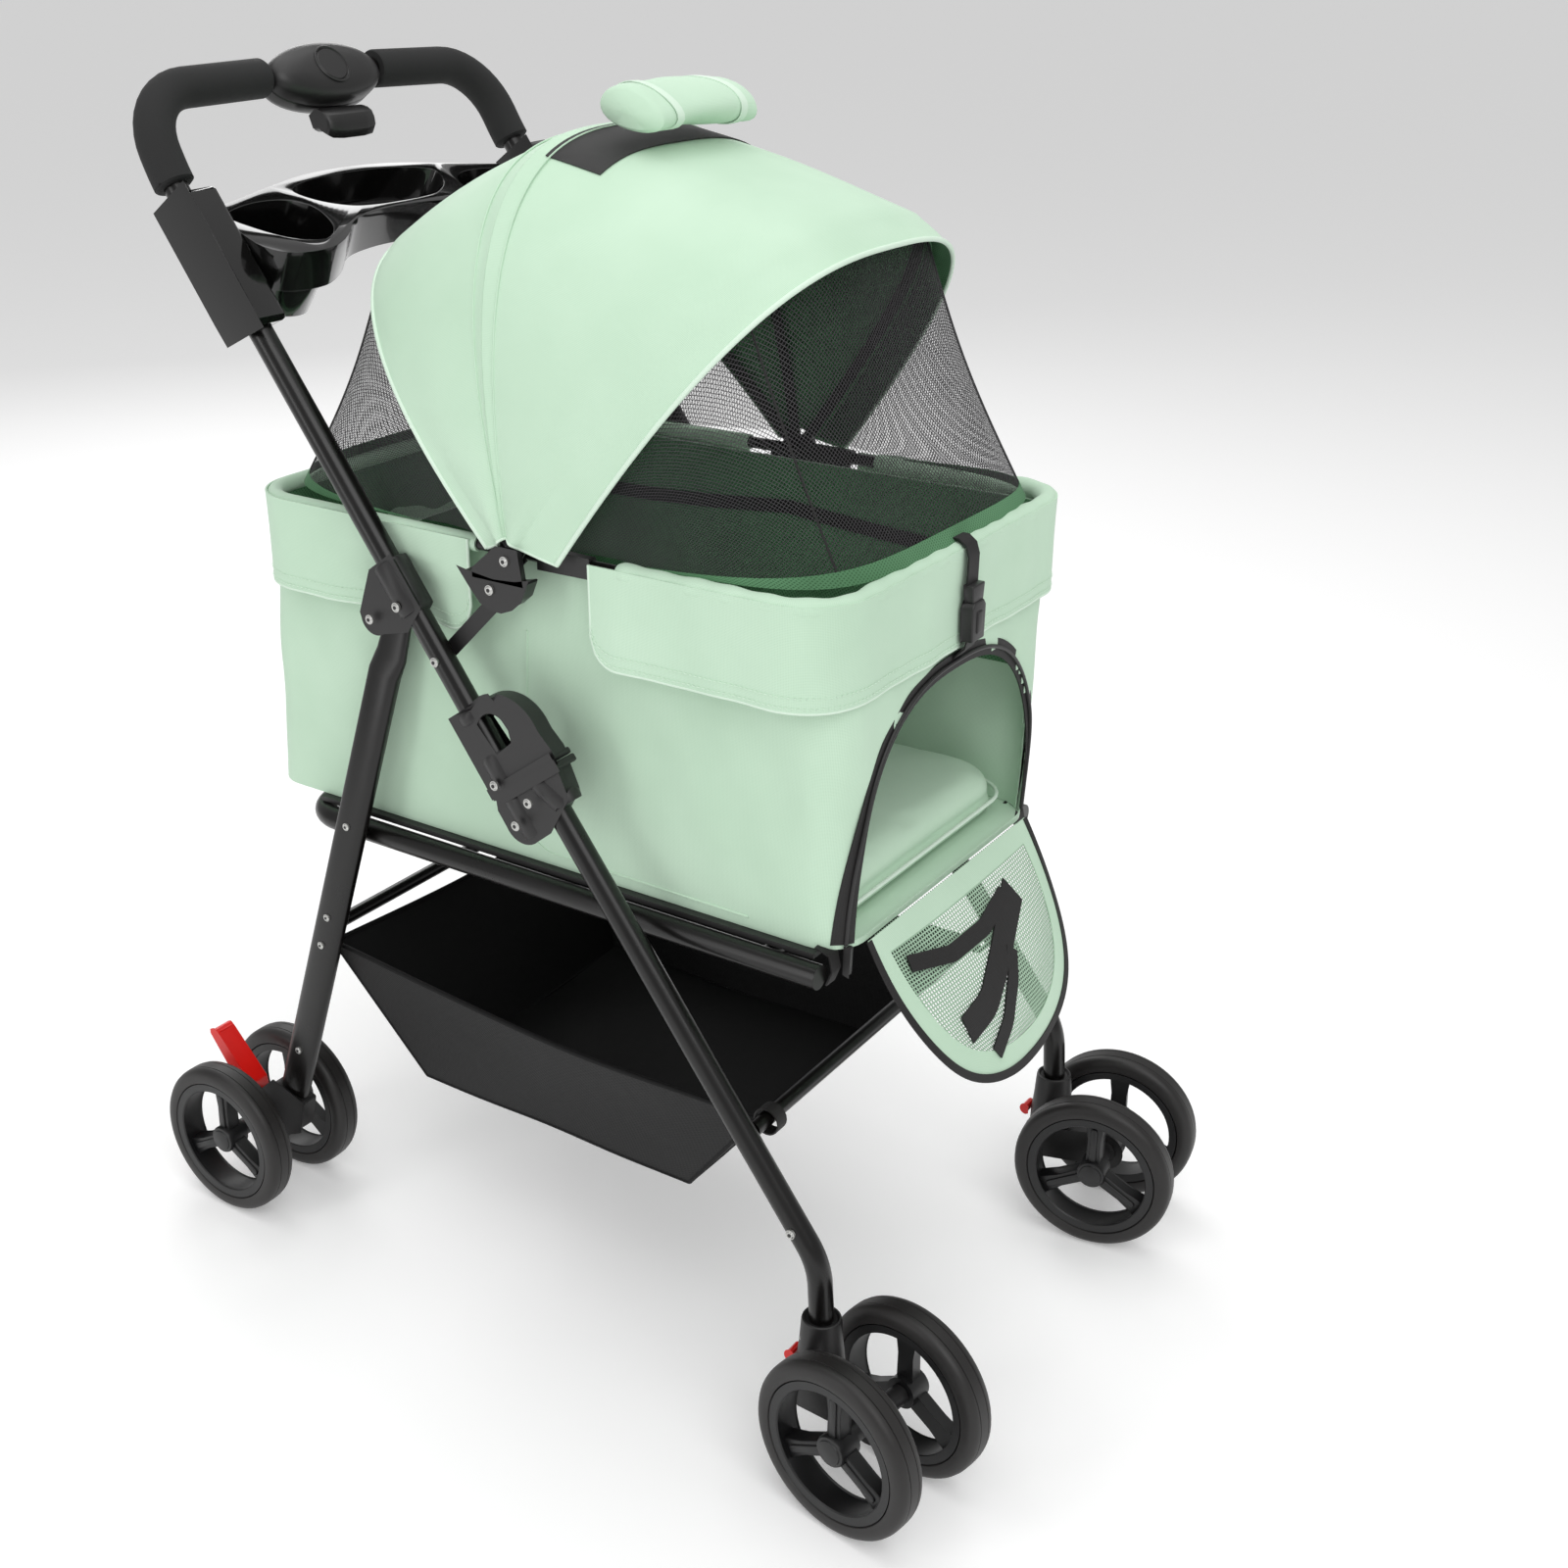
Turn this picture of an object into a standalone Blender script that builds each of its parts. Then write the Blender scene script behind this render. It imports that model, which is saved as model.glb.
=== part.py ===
"""A folding pet stroller: a tube frame on four twin wheels, a fabric cabin with a hooped canopy,
a basket below and a tray on the handle. Metres, +Z up, the front faces -Y, and +X is its left."""

import math

import bmesh
import bpy
from mathutils import Matrix, Vector

for old in list(bpy.data.objects):
    bpy.data.objects.remove(old, do_unlink=True)

# Driving dimensions
GAP = 0.0003                 # between pieces that touch
TUBE = 0.0095                # radius of the frame tubes
SIDES = 12                   # of a frame tube
BORE = (TUBE + GAP) / math.cos(math.pi / SIDES)         # of a hole that a frame tube goes through
FRAME_X = 0.200              # from the middle to the handle tube and the front leg
LEG_X = 0.183                # from the middle to the rear leg
LEG_WIDE, LEG_THICK = 0.030, 0.014
LOWER_X = 0.165              # from the middle to the lower side tube
WHEEL_RADIUS, WHEEL_WIDTH = 0.070, 0.026
WHEEL_SIDES = 24
TWIN_SPACING = 0.083         # between the middles of a pair's two wheels
REAR_AXLE_Y = 0.3347
STEM_Y = -0.2765             # swivel axis of the front wheels
CASTER_LEAD = 0.0515         # from the swivel axis to the axle
CASTER_TURN = math.radians(8.5)
LOCK_BACK, LOCK_Z = 0.0205, 0.0885     # hinge of a wheel lock, behind the swivel axis
FOLD_PIVOT = (-0.0155, 0.470)          # y, z of the joint between handle and front leg
HANDLE_TILT = math.radians(53.8)       # of the handle tube above the horizontal
LEG_PIVOT = (0.124, 0.604)             # rear leg on the handle's bracket
REAR_CROSSING = (0.2047, 0.391)        # rear leg over the lower tube
FRONT_CROSSING = (-0.1110, 0.391)      # front leg over the lower tube
FRONT_LEG_TILT = math.radians(52.9)
LATCH_SPLIT = 0.027          # from the fold pivot up the handle tube to the latch's split
CONSOLE_HALF = 0.062
HANDLE_BENDS = (0.3, 0.2, 0.052, 0.8, 0.052, 0.2, 0.3)   # radii, from the right around to the left
RIM_Z, RIM_ROLL = 0.670, 0.006
RIM_HALF_X, RIM_FRONT_Y, RIM_REAR_Y = 0.181, -0.2595, 0.2775
CABIN_STRETCH = 0.036         # the floor reaches further back than the rim
HINGE_INNER = RIM_HALF_X + RIM_ROLL + 0.0006    # inner face of the canopy hinges' feet and arms
CABIN_BOTTOM_Z, CABIN_WALL = 0.4052, 0.004
CABIN_HALF_TOP, CABIN_HALF_BOTTOM = 0.170, 0.152
CANOPY_PIVOT = (-0.003, RIM_Z - 0.002)
CANOPY_RADIUS = 0.285
CANOPY_TOP_Z = CANOPY_PIVOT[1] + CANOPY_RADIUS
HANDLE_TOP_Z = CANOPY_TOP_Z + 0.027       # the handle and its tray stay clear of the canopy
GRIP_START_Z = CANOPY_TOP_Z - 0.0435
TRAY_REACH = (CANOPY_TOP_Z - 0.1457 - FOLD_PIVOT[1]) / math.sin(HANDLE_TILT)   # up to its bend
RIB_ANGLES = {"front": 54, "main": 100, "rear": 133}    # degrees above the front
RIB_HALF = {"front": 0.1947, "main": 0.1921, "rear": 0.1895}
RIB_WIDE, RIB_THICK = 0.009, 0.002
HOOD_THICK = 0.0025
BASKET_TOP_Z, BASKET_DEPTH = 0.262, 0.116
TRAY_SLOPE = math.radians(21)
SIDE_NAMES = {"right": -1, "left": 1}


# Materials
def material(name, colour, roughness, metallic=0.0):
    made = bpy.data.materials.new(name)
    made.use_nodes = True
    shader = made.node_tree.nodes["Principled BSDF"]
    shader.inputs["Base Color"].default_value = (*colour, 1)
    shader.inputs["Roughness"].default_value = roughness
    shader.inputs["Metallic"].default_value = metallic
    return made


BLACK_PAINT = material("black_paint", (0.012, 0.011, 0.011), 0.35)
BLACK_PLASTIC = material("black_plastic", (0.014, 0.013, 0.014), 0.5)
GLOSS_PLASTIC = material("gloss_plastic", (0.008, 0.008, 0.008), 0.15)
FOAM = material("foam", (0.016, 0.016, 0.017), 0.9)
TYRE = material("tyre", (0.018, 0.017, 0.017), 0.6)
RED = material("red_plastic", (0.8, 0.01, 0.01), 0.35)
MINT = material("mint_fabric", (0.62, 0.82, 0.65), 0.9)
MESH_GREEN = material("green_mesh", (0.045, 0.15, 0.07), 0.9)
MESH_GREY = material("grey_mesh", (0.12, 0.12, 0.13), 0.9)
BASKET_CLOTH = material("basket_cloth", (0.012, 0.012, 0.013), 0.85)


# Shapes
def finish(name, bm, mat, origin=(0, 0, 0), smooth=True):
    """An object from bm's faces, whose origin is moved to a joint's axis or a middle."""
    bmesh.ops.remove_doubles(bm, verts=bm.verts, dist=1e-6)
    bmesh.ops.recalc_face_normals(bm, faces=bm.faces)
    bmesh.ops.translate(bm, verts=bm.verts, vec=-Vector(origin))
    mesh = bpy.data.meshes.new(name)
    bm.to_mesh(mesh)
    bm.free()
    if smooth:
        mesh.shade_smooth()
        mesh.set_sharp_from_angle(angle=math.radians(35))
    mesh.materials.append(mat)
    made = bpy.data.objects.new(name, mesh)
    made.location = origin
    bpy.context.scene.collection.objects.link(made)
    return made


def skin(name, rings, mat, origin=(0, 0, 0), closed=False, smooth=True):
    """A solid through rings of points. Its ends are capped, unless it closes on itself."""
    bm = bmesh.new()
    loops = [[bm.verts.new(p) for p in ring] for ring in rings]
    count = len(loops[0])
    pairs = list(zip(loops, loops[1:] + ([loops[0]] if closed else [])))
    for one, two in pairs:
        for i in range(count):
            j = (i + 1) % count
            bm.faces.new((one[i], one[j], two[j], two[i]))
    if not closed:
        bm.faces.new(loops[0])
        bm.faces.new(loops[-1])
    return finish(name, bm, mat, origin, smooth)


def prism(name, outline, low, high, mat, origin=(0, 0, 0), smooth=True):
    """An outline of (y, z) points carried along X."""
    rings = [[Vector((x, y, z)) for y, z in outline] for x in (low, high)]
    return skin(name, rings, mat, origin, smooth=smooth)


def slab(name, outline, low, high, mat, origin=(0, 0, 0)):
    """An outline of (x, y) points carried along Z."""
    rings = [[Vector((x, y, z)) for x, y in outline] for z in (low, high)]
    return skin(name, rings, mat, origin)


def disc(name, centre, steps, mat, sides=16, axis="X", origin=None):
    """A round solid about an axis through centre. Each step is (distance along it, radius)."""
    turn = {"X": Matrix.Rotation(math.radians(90), 3, "Y"), "Z": Matrix.Identity(3)}[axis]
    rings = []
    for along, radius in steps:
        corner = radius / math.cos(math.pi / sides)
        angles = [math.tau * (i + 0.5) / sides for i in range(sides)]
        flat = [Vector((corner * math.cos(a), corner * math.sin(a), along)) for a in angles]
        rings.append([Vector(centre) + turn @ p for p in flat])
    return skin(name, rings, mat, centre if origin is None else origin)


def rounded_path(corners, radii, steps=4):
    """The corners' polyline with its inner corners turned into arcs of the given radii."""
    corners = [Vector(c) for c in corners]
    path = [corners[0]]
    for before, corner, after, radius in zip(corners, corners[1:], corners[2:], radii):
        one, two = (before - corner).normalized(), (after - corner).normalized()
        half = one.angle(two) / 2
        reach = radius / math.tan(half)
        centre = corner + (one + two).normalized() * radius / math.sin(half)
        start, end = corner + one * reach - centre, corner + two * reach - centre
        whole = start.angle(end)
        for i in range(steps + 1):
            share = i / steps
            a, b = math.sin((1 - share) * whole), math.sin(share * whole)
            path.append(centre + (start * a + end * b) / math.sin(whole))
    return path + [corners[-1]]


def frames(path, closed=False):
    """A pair of directions across the path at each point, carried along without twist."""
    count = len(path)
    ahead = []
    for i, point in enumerate(path):
        after = path[(i + 1) % count] if closed or i + 1 < count else point
        before = path[i - 1] if closed or i else point
        ahead.append((after - before).normalized())
    across = ahead[0].orthogonal().normalized()
    if abs(ahead[0].x) < 0.9:
        across = ahead[0].cross(Vector((1, 0, 0))).normalized()
    pairs = []
    for direction in ahead:
        across = (across - direction * across.dot(direction)).normalized()
        pairs.append((across, direction.cross(across)))
    return pairs


def tube_rings(path, radius, sides=SIDES, closed=False):
    rings = []
    for point, (one, two) in zip(path, frames(path, closed)):
        angles = [math.tau * (i + 0.5) / sides for i in range(sides)]
        rings.append([point + (one * math.cos(a) + two * math.sin(a)) * radius for a in angles])
    return rings


def tube(name, path, radius, mat, sides=SIDES, closed=False, origin=(0, 0, 0)):
    return skin(name, tube_rings(path, radius, sides, closed), mat, origin, closed)


def sleeve(name, path, outer, inner, mat, sides=SIDES, origin=(0, 0, 0)):
    """A hollow tube along a path."""
    rings = tube_rings(path, outer, sides)
    return skin(name, rings + tube_rings(path, inner, sides)[::-1], mat, origin, closed=True)


def boolean(target, other, operation):
    other.hide_render = True
    other.display_type = "WIRE"
    step = target.modifiers.new(other.name, "BOOLEAN")
    step.operation = operation
    step.object = other
    step.solver = "EXACT"
    return target


def cut(target, *cutters):
    for cutter in cutters:
        boolean(target, cutter, "DIFFERENCE")
    return target


def join(target, *others):
    for other in others:
        boolean(target, other, "UNION")
    return target


def arc(centre, radius, start, end, steps):
    """Points of an arc, its angles in degrees."""
    angles = [math.radians(start + (end - start) * i / steps) for i in range(steps + 1)]
    return [(centre[0] + radius * math.cos(a), centre[1] + radius * math.sin(a)) for a in angles]


# Directions of the latch: up the handle tube, and across it to the front
ALONG = (math.cos(HANDLE_TILT), math.sin(HANDLE_TILT))
ACROSS = (-ALONG[1], ALONG[0])


def latch_point(across, along):
    """(y, z) of a point given from the fold pivot, across and along the handle tube."""
    return tuple(FOLD_PIVOT[i] + across * ACROSS[i] + along * ALONG[i] for i in (0, 1))


# Wheels
def wheel_meshes():
    """The rim with its hub and three spokes, and the tyre, both about X at the origin."""
    half = WHEEL_WIDTH / 2
    seat = WHEEL_RADIUS * 0.80
    rim_inner = seat - 0.008

    def hoop(name, profile, mat):
        rings = []
        for i in range(WHEEL_SIDES):
            a = math.tau * (i + 0.5) / WHEEL_SIDES
            grow = 1 / math.cos(math.pi / WHEEL_SIDES)
            rings.append([Vector((x, r * grow * math.cos(a), r * grow * math.sin(a)))
                          for x, r in profile])
        return skin(name, rings, mat, closed=True)

    tyre = hoop("tyre_shape", [
        (-half, seat + 0.002), (-half, WHEEL_RADIUS - 0.006), (-half * 0.65, WHEEL_RADIUS),
        (half * 0.65, WHEEL_RADIUS), (half, WHEEL_RADIUS - 0.006), (half, seat + 0.002),
        (half - 0.002, seat), (-half + 0.002, seat)], TYRE)
    rim = hoop("rim_shape", [
        (-half + 0.003, rim_inner), (-half + 0.003, seat - GAP),
        (half - 0.003, seat - GAP), (half - 0.003, rim_inner)], BLACK_PLASTIC)
    join(rim, disc("hub_shape", (0, 0, 0), [(-0.010, 0.012), (0.011, 0.012)], BLACK_PLASTIC, 12))
    for i in range(3):
        spoke = prism(f"spoke_shape_{i}", [(-0.0055, 0.006), (0.0055, 0.006),
                                           (0.0055, rim_inner + 0.003), (-0.0055, rim_inner + 0.003)],
                      -0.004, 0.006, BLACK_PLASTIC, smooth=False)
        spoke.rotation_euler = (math.radians(120 * i), 0, 0)
        join(rim, spoke)
    bpy.context.view_layer.update()
    view = bpy.context.evaluated_depsgraph_get()
    baked = [bpy.data.meshes.new_from_object(o.evaluated_get(view)) for o in (rim, tyre)]
    for shape in [o for o in bpy.data.objects if "_shape" in o.name]:
        bpy.data.objects.remove(shape, do_unlink=True)
    return baked


RIM_MESH, TYRE_MESH = wheel_meshes()


def wheel_pair(label, centre, turn):
    """Two wheels on one axle. Each wheel's hub faces outward."""
    for place, way in (("inner", -1), ("outer", 1)):
        side = way if centre[0] > 0 else -way
        offset = Matrix.Rotation(turn, 3, "Z") @ Vector((side * TWIN_SPACING / 2, 0, 0))
        for kind, mesh in (("wheel", RIM_MESH), ("tyre", TYRE_MESH)):
            made = bpy.data.objects.new(f"{kind}_{label}_{place}", mesh)
            made.location = Vector(centre) + offset
            made.rotation_euler = (0, 0, turn + (math.pi if side < 0 else 0))
            bpy.context.scene.collection.objects.link(made)


# Rear legs
def rear_legs():
    """Flat oval legs, the axle housings at their feet, the brake pedals and a cross tube."""
    slope = (REAR_CROSSING[0] - LEG_PIVOT[0]) / (REAR_CROSSING[1] - LEG_PIVOT[1])
    foot_z = 0.114
    foot_y = REAR_CROSSING[0] + slope * (foot_z - REAR_CROSSING[1]) * 0.80
    down = Vector((0, foot_y - LEG_PIVOT[0], foot_z - LEG_PIVOT[1])).normalized()
    wide = Vector((0, -down.z, down.y))
    foot = Vector((0, foot_y, foot_z))

    def oval(point, x, thick, width):
        ring = []
        for i in range(10):
            a = math.tau * (i + 0.5) / 10
            ring.append(Vector((x + thick / 2 * math.copysign(abs(math.cos(a)) ** 0.6, math.cos(a)),
                                0, 0)) + point + wide * (width / 2 * math.sin(a)))
        return ring

    for name, side in SIDE_NAMES.items():
        top = Vector((0, *LEG_PIVOT)) - down * 0.014
        thin = LEG_THICK / 2 - 0.0003
        shift = side * (LEG_X - LEG_THICK / 4)
        full = side * LEG_X
        stops = [(top, shift, thin, LEG_WIDE * 0.8), (top + down * 0.045, shift, thin, LEG_WIDE),
                 (top + down * 0.060, full, LEG_THICK, LEG_WIDE),
                 (foot, full, LEG_THICK, LEG_WIDE)]
        pivot = (side * LEG_X, *REAR_CROSSING)
        skin(f"rear_leg_{name}", [oval(*s) for s in stops], BLACK_PAINT, pivot)

        axle = (REAR_AXLE_Y, WHEEL_RADIUS)
        outline = arc(axle, 0.017, -110, 60, 6) + [
            tuple((foot + down * GAP + wide * 0.018).yz), tuple((foot + down * GAP - wide * 0.018).yz),
            (foot_y - 0.010, foot_z - 0.036)]
        housing = prism(f"rear_housing_{name}", outline, full - 0.010, full + 0.010, BLACK_PLASTIC,
                        (full, *axle))
        reach = TWIN_SPACING / 2 - 0.010 - GAP
        join(housing, disc(f"rear_axle_{name}", (full, *axle), [(-reach, 0.008), (reach, 0.008)],
                           BLACK_PLASTIC, 10))

        hinge = (REAR_AXLE_Y + 0.006, WHEEL_RADIUS + 0.030)
        pedal = [(hinge[0] - 0.006, hinge[1] - 0.004), (hinge[0] + 0.006, hinge[1] - 0.006),
                 (hinge[0] + 0.042, hinge[1] + 0.046), (hinge[0] + 0.037, hinge[1] + 0.050),
                 (hinge[0] - 0.004, hinge[1] + 0.006)]
        prism(f"brake_pedal_{name}", pedal, full - 0.011, full + 0.011, RED, (full, *hinge))
        wheel_pair(f"rear_{name}", (full, *axle), 0)

    cross = (REAR_CROSSING[0] + slope * (BASKET_TOP_Z - REAR_CROSSING[1]) * 0.88,
             BASKET_TOP_Z + 0.020)
    inner = LEG_X - LEG_THICK / 2 - GAP
    tube("rear_cross_tube", [Vector((-inner, *cross)), Vector((inner, *cross))], 0.006, BLACK_PAINT,
         8, origin=(0, *cross))


# Front legs
def front_legs():
    """Round legs bent upright at the foot, their latch halves, wheel sockets, forks and locks."""
    slope = 1 / math.tan(FRONT_LEG_TILT)
    socket_top = 0.1312
    bend_z = 0.176

    def leg_y(z):
        return FRONT_CROSSING[0] + (z - FRONT_CROSSING[1]) * slope

    for name, side in SIDE_NAMES.items():
        x = side * FRAME_X
        top = latch_point(0.0285, LATCH_SPLIT - 0.010)
        corners = [(x, *top), (x, leg_y(bend_z), bend_z), (x, STEM_Y, socket_top + 0.001)]
        path = rounded_path(corners, [0.06], 5)
        leg = tube(f"front_leg_{name}", path, TUBE, BLACK_PAINT,
                   origin=(x, *FRONT_CROSSING))

        # The lower half of the latch: a block on the leg, with two cheeks about the fold pivot
        split = LATCH_SPLIT - GAP
        outline = [latch_point(0.056, split), latch_point(-0.003, split),
                   latch_point(-0.0115, 0.0235), latch_point(-0.0155, 0.016)]
        outline += [latch_point(a, b) for a, b in arc((0, 0), 0.016, 170, 280, 5)]
        outline += [latch_point(0.019, -0.015), latch_point(0.051, 0.000)]
        block = prism(f"latch_lower_{name}", outline, x - 0.0125, x + 0.0125, BLACK_PLASTIC,
                      (x, *FOLD_PIVOT))
        slot = [latch_point(a, b) for a, b in
                ((-0.03, -0.03), (0.0128, -0.03), (0.0128, 0.04), (-0.03, 0.04))]
        cut(block, prism(f"latch_slot_{name}", slot, x - 0.0036, x + 0.0036, BLACK_PLASTIC))
        cut(block, tube(f"latch_bore_{name}", [Vector((x, *top)) + Vector((0, 0.6, 0.8)) * 0.0003,
                                               Vector(path[1])], BORE, BLACK_PLASTIC))

        socket = disc(f"caster_socket_{name}", (x, STEM_Y, 0),
                      [(0.0806, 0.019), (0.090, 0.0185), (socket_top, 0.0155)], BLACK_PLASTIC, 14,
                      "Z")

        turn = Matrix.Rotation(side * CASTER_TURN, 3, "Z")
        axle = Vector((x, STEM_Y, WHEEL_RADIUS)) + turn @ Vector((0, -CASTER_LEAD, 0))
        outline = (arc((-CASTER_LEAD, WHEEL_RADIUS), 0.016, 90, 300, 7)
                   + [(0.012, 0.050), (0.017, 0.058), (0.017, 0.0803), (-0.019, 0.0803)])
        fork = prism(f"caster_fork_{name}", outline, -0.011, 0.011, BLACK_PLASTIC)
        reach = TWIN_SPACING / 2 - 0.010 - GAP
        join(fork, disc(f"caster_axle_{name}", (0, -CASTER_LEAD, WHEEL_RADIUS),
                        [(-reach, 0.008), (reach, 0.008)], BLACK_PLASTIC, 10))
        fork_turn = Matrix.Translation((x, STEM_Y, 0)) @ turn.to_4x4()
        for piece in (fork, fork.modifiers[0].object):
            piece.matrix_world = fork_turn @ piece.matrix_basis
        wheel_pair(f"front_{name}", axle, turn.to_euler().z)

        hinge = (STEM_Y + LOCK_BACK, LOCK_Z)
        tab = arc((hinge[0] + 0.0025, hinge[1]), 0.0045, -90, 90, 5) + [
            (hinge[0], hinge[1] + 0.003), (hinge[0], hinge[1] - 0.004)]
        prism(f"caster_lock_{name}", tab, x - 0.007, x + 0.007, RED, (x, *hinge))

    end = FRAME_X - TUBE - GAP
    bar_y = leg_y(BASKET_TOP_Z)
    corners = [(-end, bar_y, BASKET_TOP_Z), (end, bar_y, BASKET_TOP_Z)]
    tube("basket_crossbar", [Vector(c) for c in corners], 0.006, BLACK_PAINT, 8,
         origin=(0, bar_y, BASKET_TOP_Z))


# Handle
def clip(path, start_z, end_x):
    """The stretch of a path from height start_z on to the distance end_x from the middle."""
    run = []
    for one, two in zip(path, path[1:]):
        if not run and one.z < start_z <= two.z:
            run.append(one.lerp(two, (start_z - one.z) / (two.z - one.z)))
        if run and abs(two.x) <= end_x:
            share = (abs(one.x) - end_x) / (abs(one.x) - abs(two.x))
            return run + [one.lerp(two, share)]
        if run:
            run.append(two)
    return run


def handle_corners():
    """The handle's centre line, from its right lower end over the top to its left lower end."""
    low = latch_point(0, LATCH_SPLIT + 0.004)
    tray = latch_point(0, TRAY_REACH)
    grip = (tray[0] + 0.0835, tray[1] + 0.1035)
    corner = (grip[0] + 0.036, HANDLE_TOP_Z - 0.004)
    right = [(-FRAME_X, *low), (-FRAME_X, *tray), (-FRAME_X + 0.001, *grip),
             (-FRAME_X + 0.004, *corner)]
    left = [(-x, y, z) for x, y, z in reversed(right)]
    return right + [(0, corner[0] + 0.005, HANDLE_TOP_Z)] + left


def handle():
    """One bent tube from latch to latch, with foam grips, the console, its trigger and the tray."""
    path = rounded_path(handle_corners(), HANDLE_BENDS, 4)
    frame = tube("handle_frame", path, TUBE, BLACK_PAINT)
    for name, side in SIDE_NAMES.items():
        x = side * FRAME_X
        tongue = [latch_point(a, b) for a, b in
                  arc((0, 0), 0.0075, 180, 360, 6) + [(0.0075, LATCH_SPLIT + 0.012),
                                                      (-0.0075, LATCH_SPLIT + 0.012)]]
        join(frame, prism(f"fold_tongue_{name}", tongue, x - 0.003, x + 0.003, BLACK_PAINT))

    # The grips cover the path from above the tray to the console
    for name, side in SIDE_NAMES.items():
        upward = path if side < 0 else path[::-1]
        run = clip(upward, GRIP_START_Z, CONSOLE_HALF + 0.002)
        sleeve(f"foam_grip_{name}", run, 0.016, TUBE + GAP, FOAM)

    # The console is an oval shell in the handle's plane, which leans back with the tubes
    middle = min(path, key=lambda p: abs(p.x))
    face = Vector((0, -math.sin(HANDLE_TILT), math.cos(HANDLE_TILT)))
    slope = Vector((0, -math.cos(HANDLE_TILT), -math.sin(HANDLE_TILT)))
    centre = middle + slope * 0.006
    rings = []
    for out, grow in ((-0.017, 0.86), (-0.010, 1.0), (0.012, 1.0), (0.020, 0.80)):
        ring = []
        for i in range(20):
            a = math.tau * (i + 0.5) / 20
            ring.append(centre + face * out + Vector((CONSOLE_HALF * math.cos(a), 0, 0)) * grow
                        + slope * (0.027 * math.sin(a)) * grow)
        rings.append(ring)
    console = skin("console", rings, BLACK_PLASTIC, centre)
    bar = [p for p in path if abs(p.x) < FRAME_X - 0.03]
    cut(console, tube("console_bore", bar, BORE, BLACK_PLASTIC))

    hinge = centre + slope * 0.0290 - face * 0.002
    lever = [hinge + slope * s + face * f for s, f in
             ((0.0005, -0.006), (0.0005, 0.006), (0.012, 0.014), (0.025, 0.010), (0.029, 0.003),
              (0.018, -0.002), (0.014, -0.010))]
    skin("fold_trigger", [[p + Vector((x, 0, 0)) for p in lever] for x in (-0.028, 0.028)],
         BLACK_PLASTIC, hinge)
    tray()


def tray():
    """A shallow deck between the handle tubes with two cup wells and a middle compartment."""
    slope = Matrix.Rotation(TRAY_SLOPE, 3, "X")
    foot = latch_point(0, TRAY_REACH)
    anchor = Vector((0, foot[0] + 0.0546, foot[1] + 0.0797))

    def plate(name, outline, low, high):
        rings = [[anchor + slope @ Vector((x, y, z)) for x, y in outline] for z in (low, high)]
        return skin(name, rings, GLOSS_PLASTIC)

    inner = FRAME_X - 0.0155
    cup = (0.135, -0.020)
    half = [(0, 0.048), (0.050, 0.045), (0.100, 0.033), (0.150, 0.020), (inner, 0.010),
            (inner, -0.052), (0.165, -0.066), (0.125, -0.068), (0.098, -0.054), (0.070, -0.034),
            (0.035, -0.026), (0, -0.024)]
    outline = half + [(-x, y) for x, y in reversed(half[1:-1])]
    deck = plate("tray", outline, -0.034, 0.0)

    def cup_ring(centre, grow):
        points = []
        for i in range(16):
            a = math.tau * i / 16
            reach = 0.040 + 0.006 * math.cos(3 * a + math.pi / 2)
            points.append((centre[0] + (reach + grow) * math.cos(a),
                           centre[1] + (reach * 0.92 + grow) * math.sin(a)))
        return points

    for name, side in SIDE_NAMES.items():
        centre = (side * cup[0], cup[1])
        join(deck, plate(f"cup_body_{name}", cup_ring(centre, 0.0), -0.072, -0.010))
    for name, side in SIDE_NAMES.items():
        centre = (side * cup[0], cup[1])
        cut(deck, plate(f"cup_well_{name}", cup_ring(centre, -0.004), -0.068, 0.020))
    pocket = [(0, 0.040), (0.050, 0.037), (0.082, 0.030), (0.088, 0.012), (0.070, -0.014),
              (0.035, -0.018), (0, -0.016)]
    pocket += [(-x, y) for x, y in reversed(pocket[1:-1])]
    cut(deck, plate("compartment", pocket, -0.030, 0.020))

    # Each clamp is a block around the tube
    for name, side in SIDE_NAMES.items():
        x = side * FRAME_X
        outline = [latch_point(a, b) for a, b in ((-0.020, 0.425), (0.018, 0.418), (0.019, 0.535),
                                                  (-0.019, 0.535), (-0.020, 0.440))]
        clamp = prism(f"tray_clamp_{name}", outline, x - 0.0165, x + 0.0165, GLOSS_PLASTIC)
        join(deck, clamp)
    path = rounded_path(handle_corners(), HANDLE_BENDS, 4)
    for name, side in SIDE_NAMES.items():
        run = [p for p in path if p.x * side > FRAME_X - 0.003]
        cut(deck, tube(f"clamp_bore_{name}", run, BORE, GLOSS_PLASTIC))


def latch_sliders():
    """The upper halves of the latches, which slide up the handle tube to let the frame fold."""
    for name, side in SIDE_NAMES.items():
        x = side * FRAME_X
        outline = [(-0.0145, LATCH_SPLIT), (0.058, LATCH_SPLIT), (0.059, 0.036), (0.0565, 0.050)]
        outline += arc((0.020, 0.058), 0.0365, 0, 85, 5) + [(0.008, 0.095), (-0.0145, 0.093)]
        slider = prism(f"latch_slider_{name}", [latch_point(a, b) for a, b in outline],
                       x - 0.0125, x + 0.0135, BLACK_PLASTIC, (x, *latch_point(0, 0.06)))
        window = [(0.0145, 0.054), (0.030, 0.056), (0.032, 0.070), (0.026, 0.082), (0.0145, 0.083)]
        cut(slider, prism(f"latch_window_{name}", [latch_point(a, b) for a, b in window],
                          x - 0.03, x + 0.03, BLACK_PLASTIC))
        bore = [Vector((x, *latch_point(0, b))) for b in (LATCH_SPLIT - 0.02, 0.12)]
        cut(slider, tube(f"slider_bore_{name}", bore, BORE, BLACK_PLASTIC))


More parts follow.
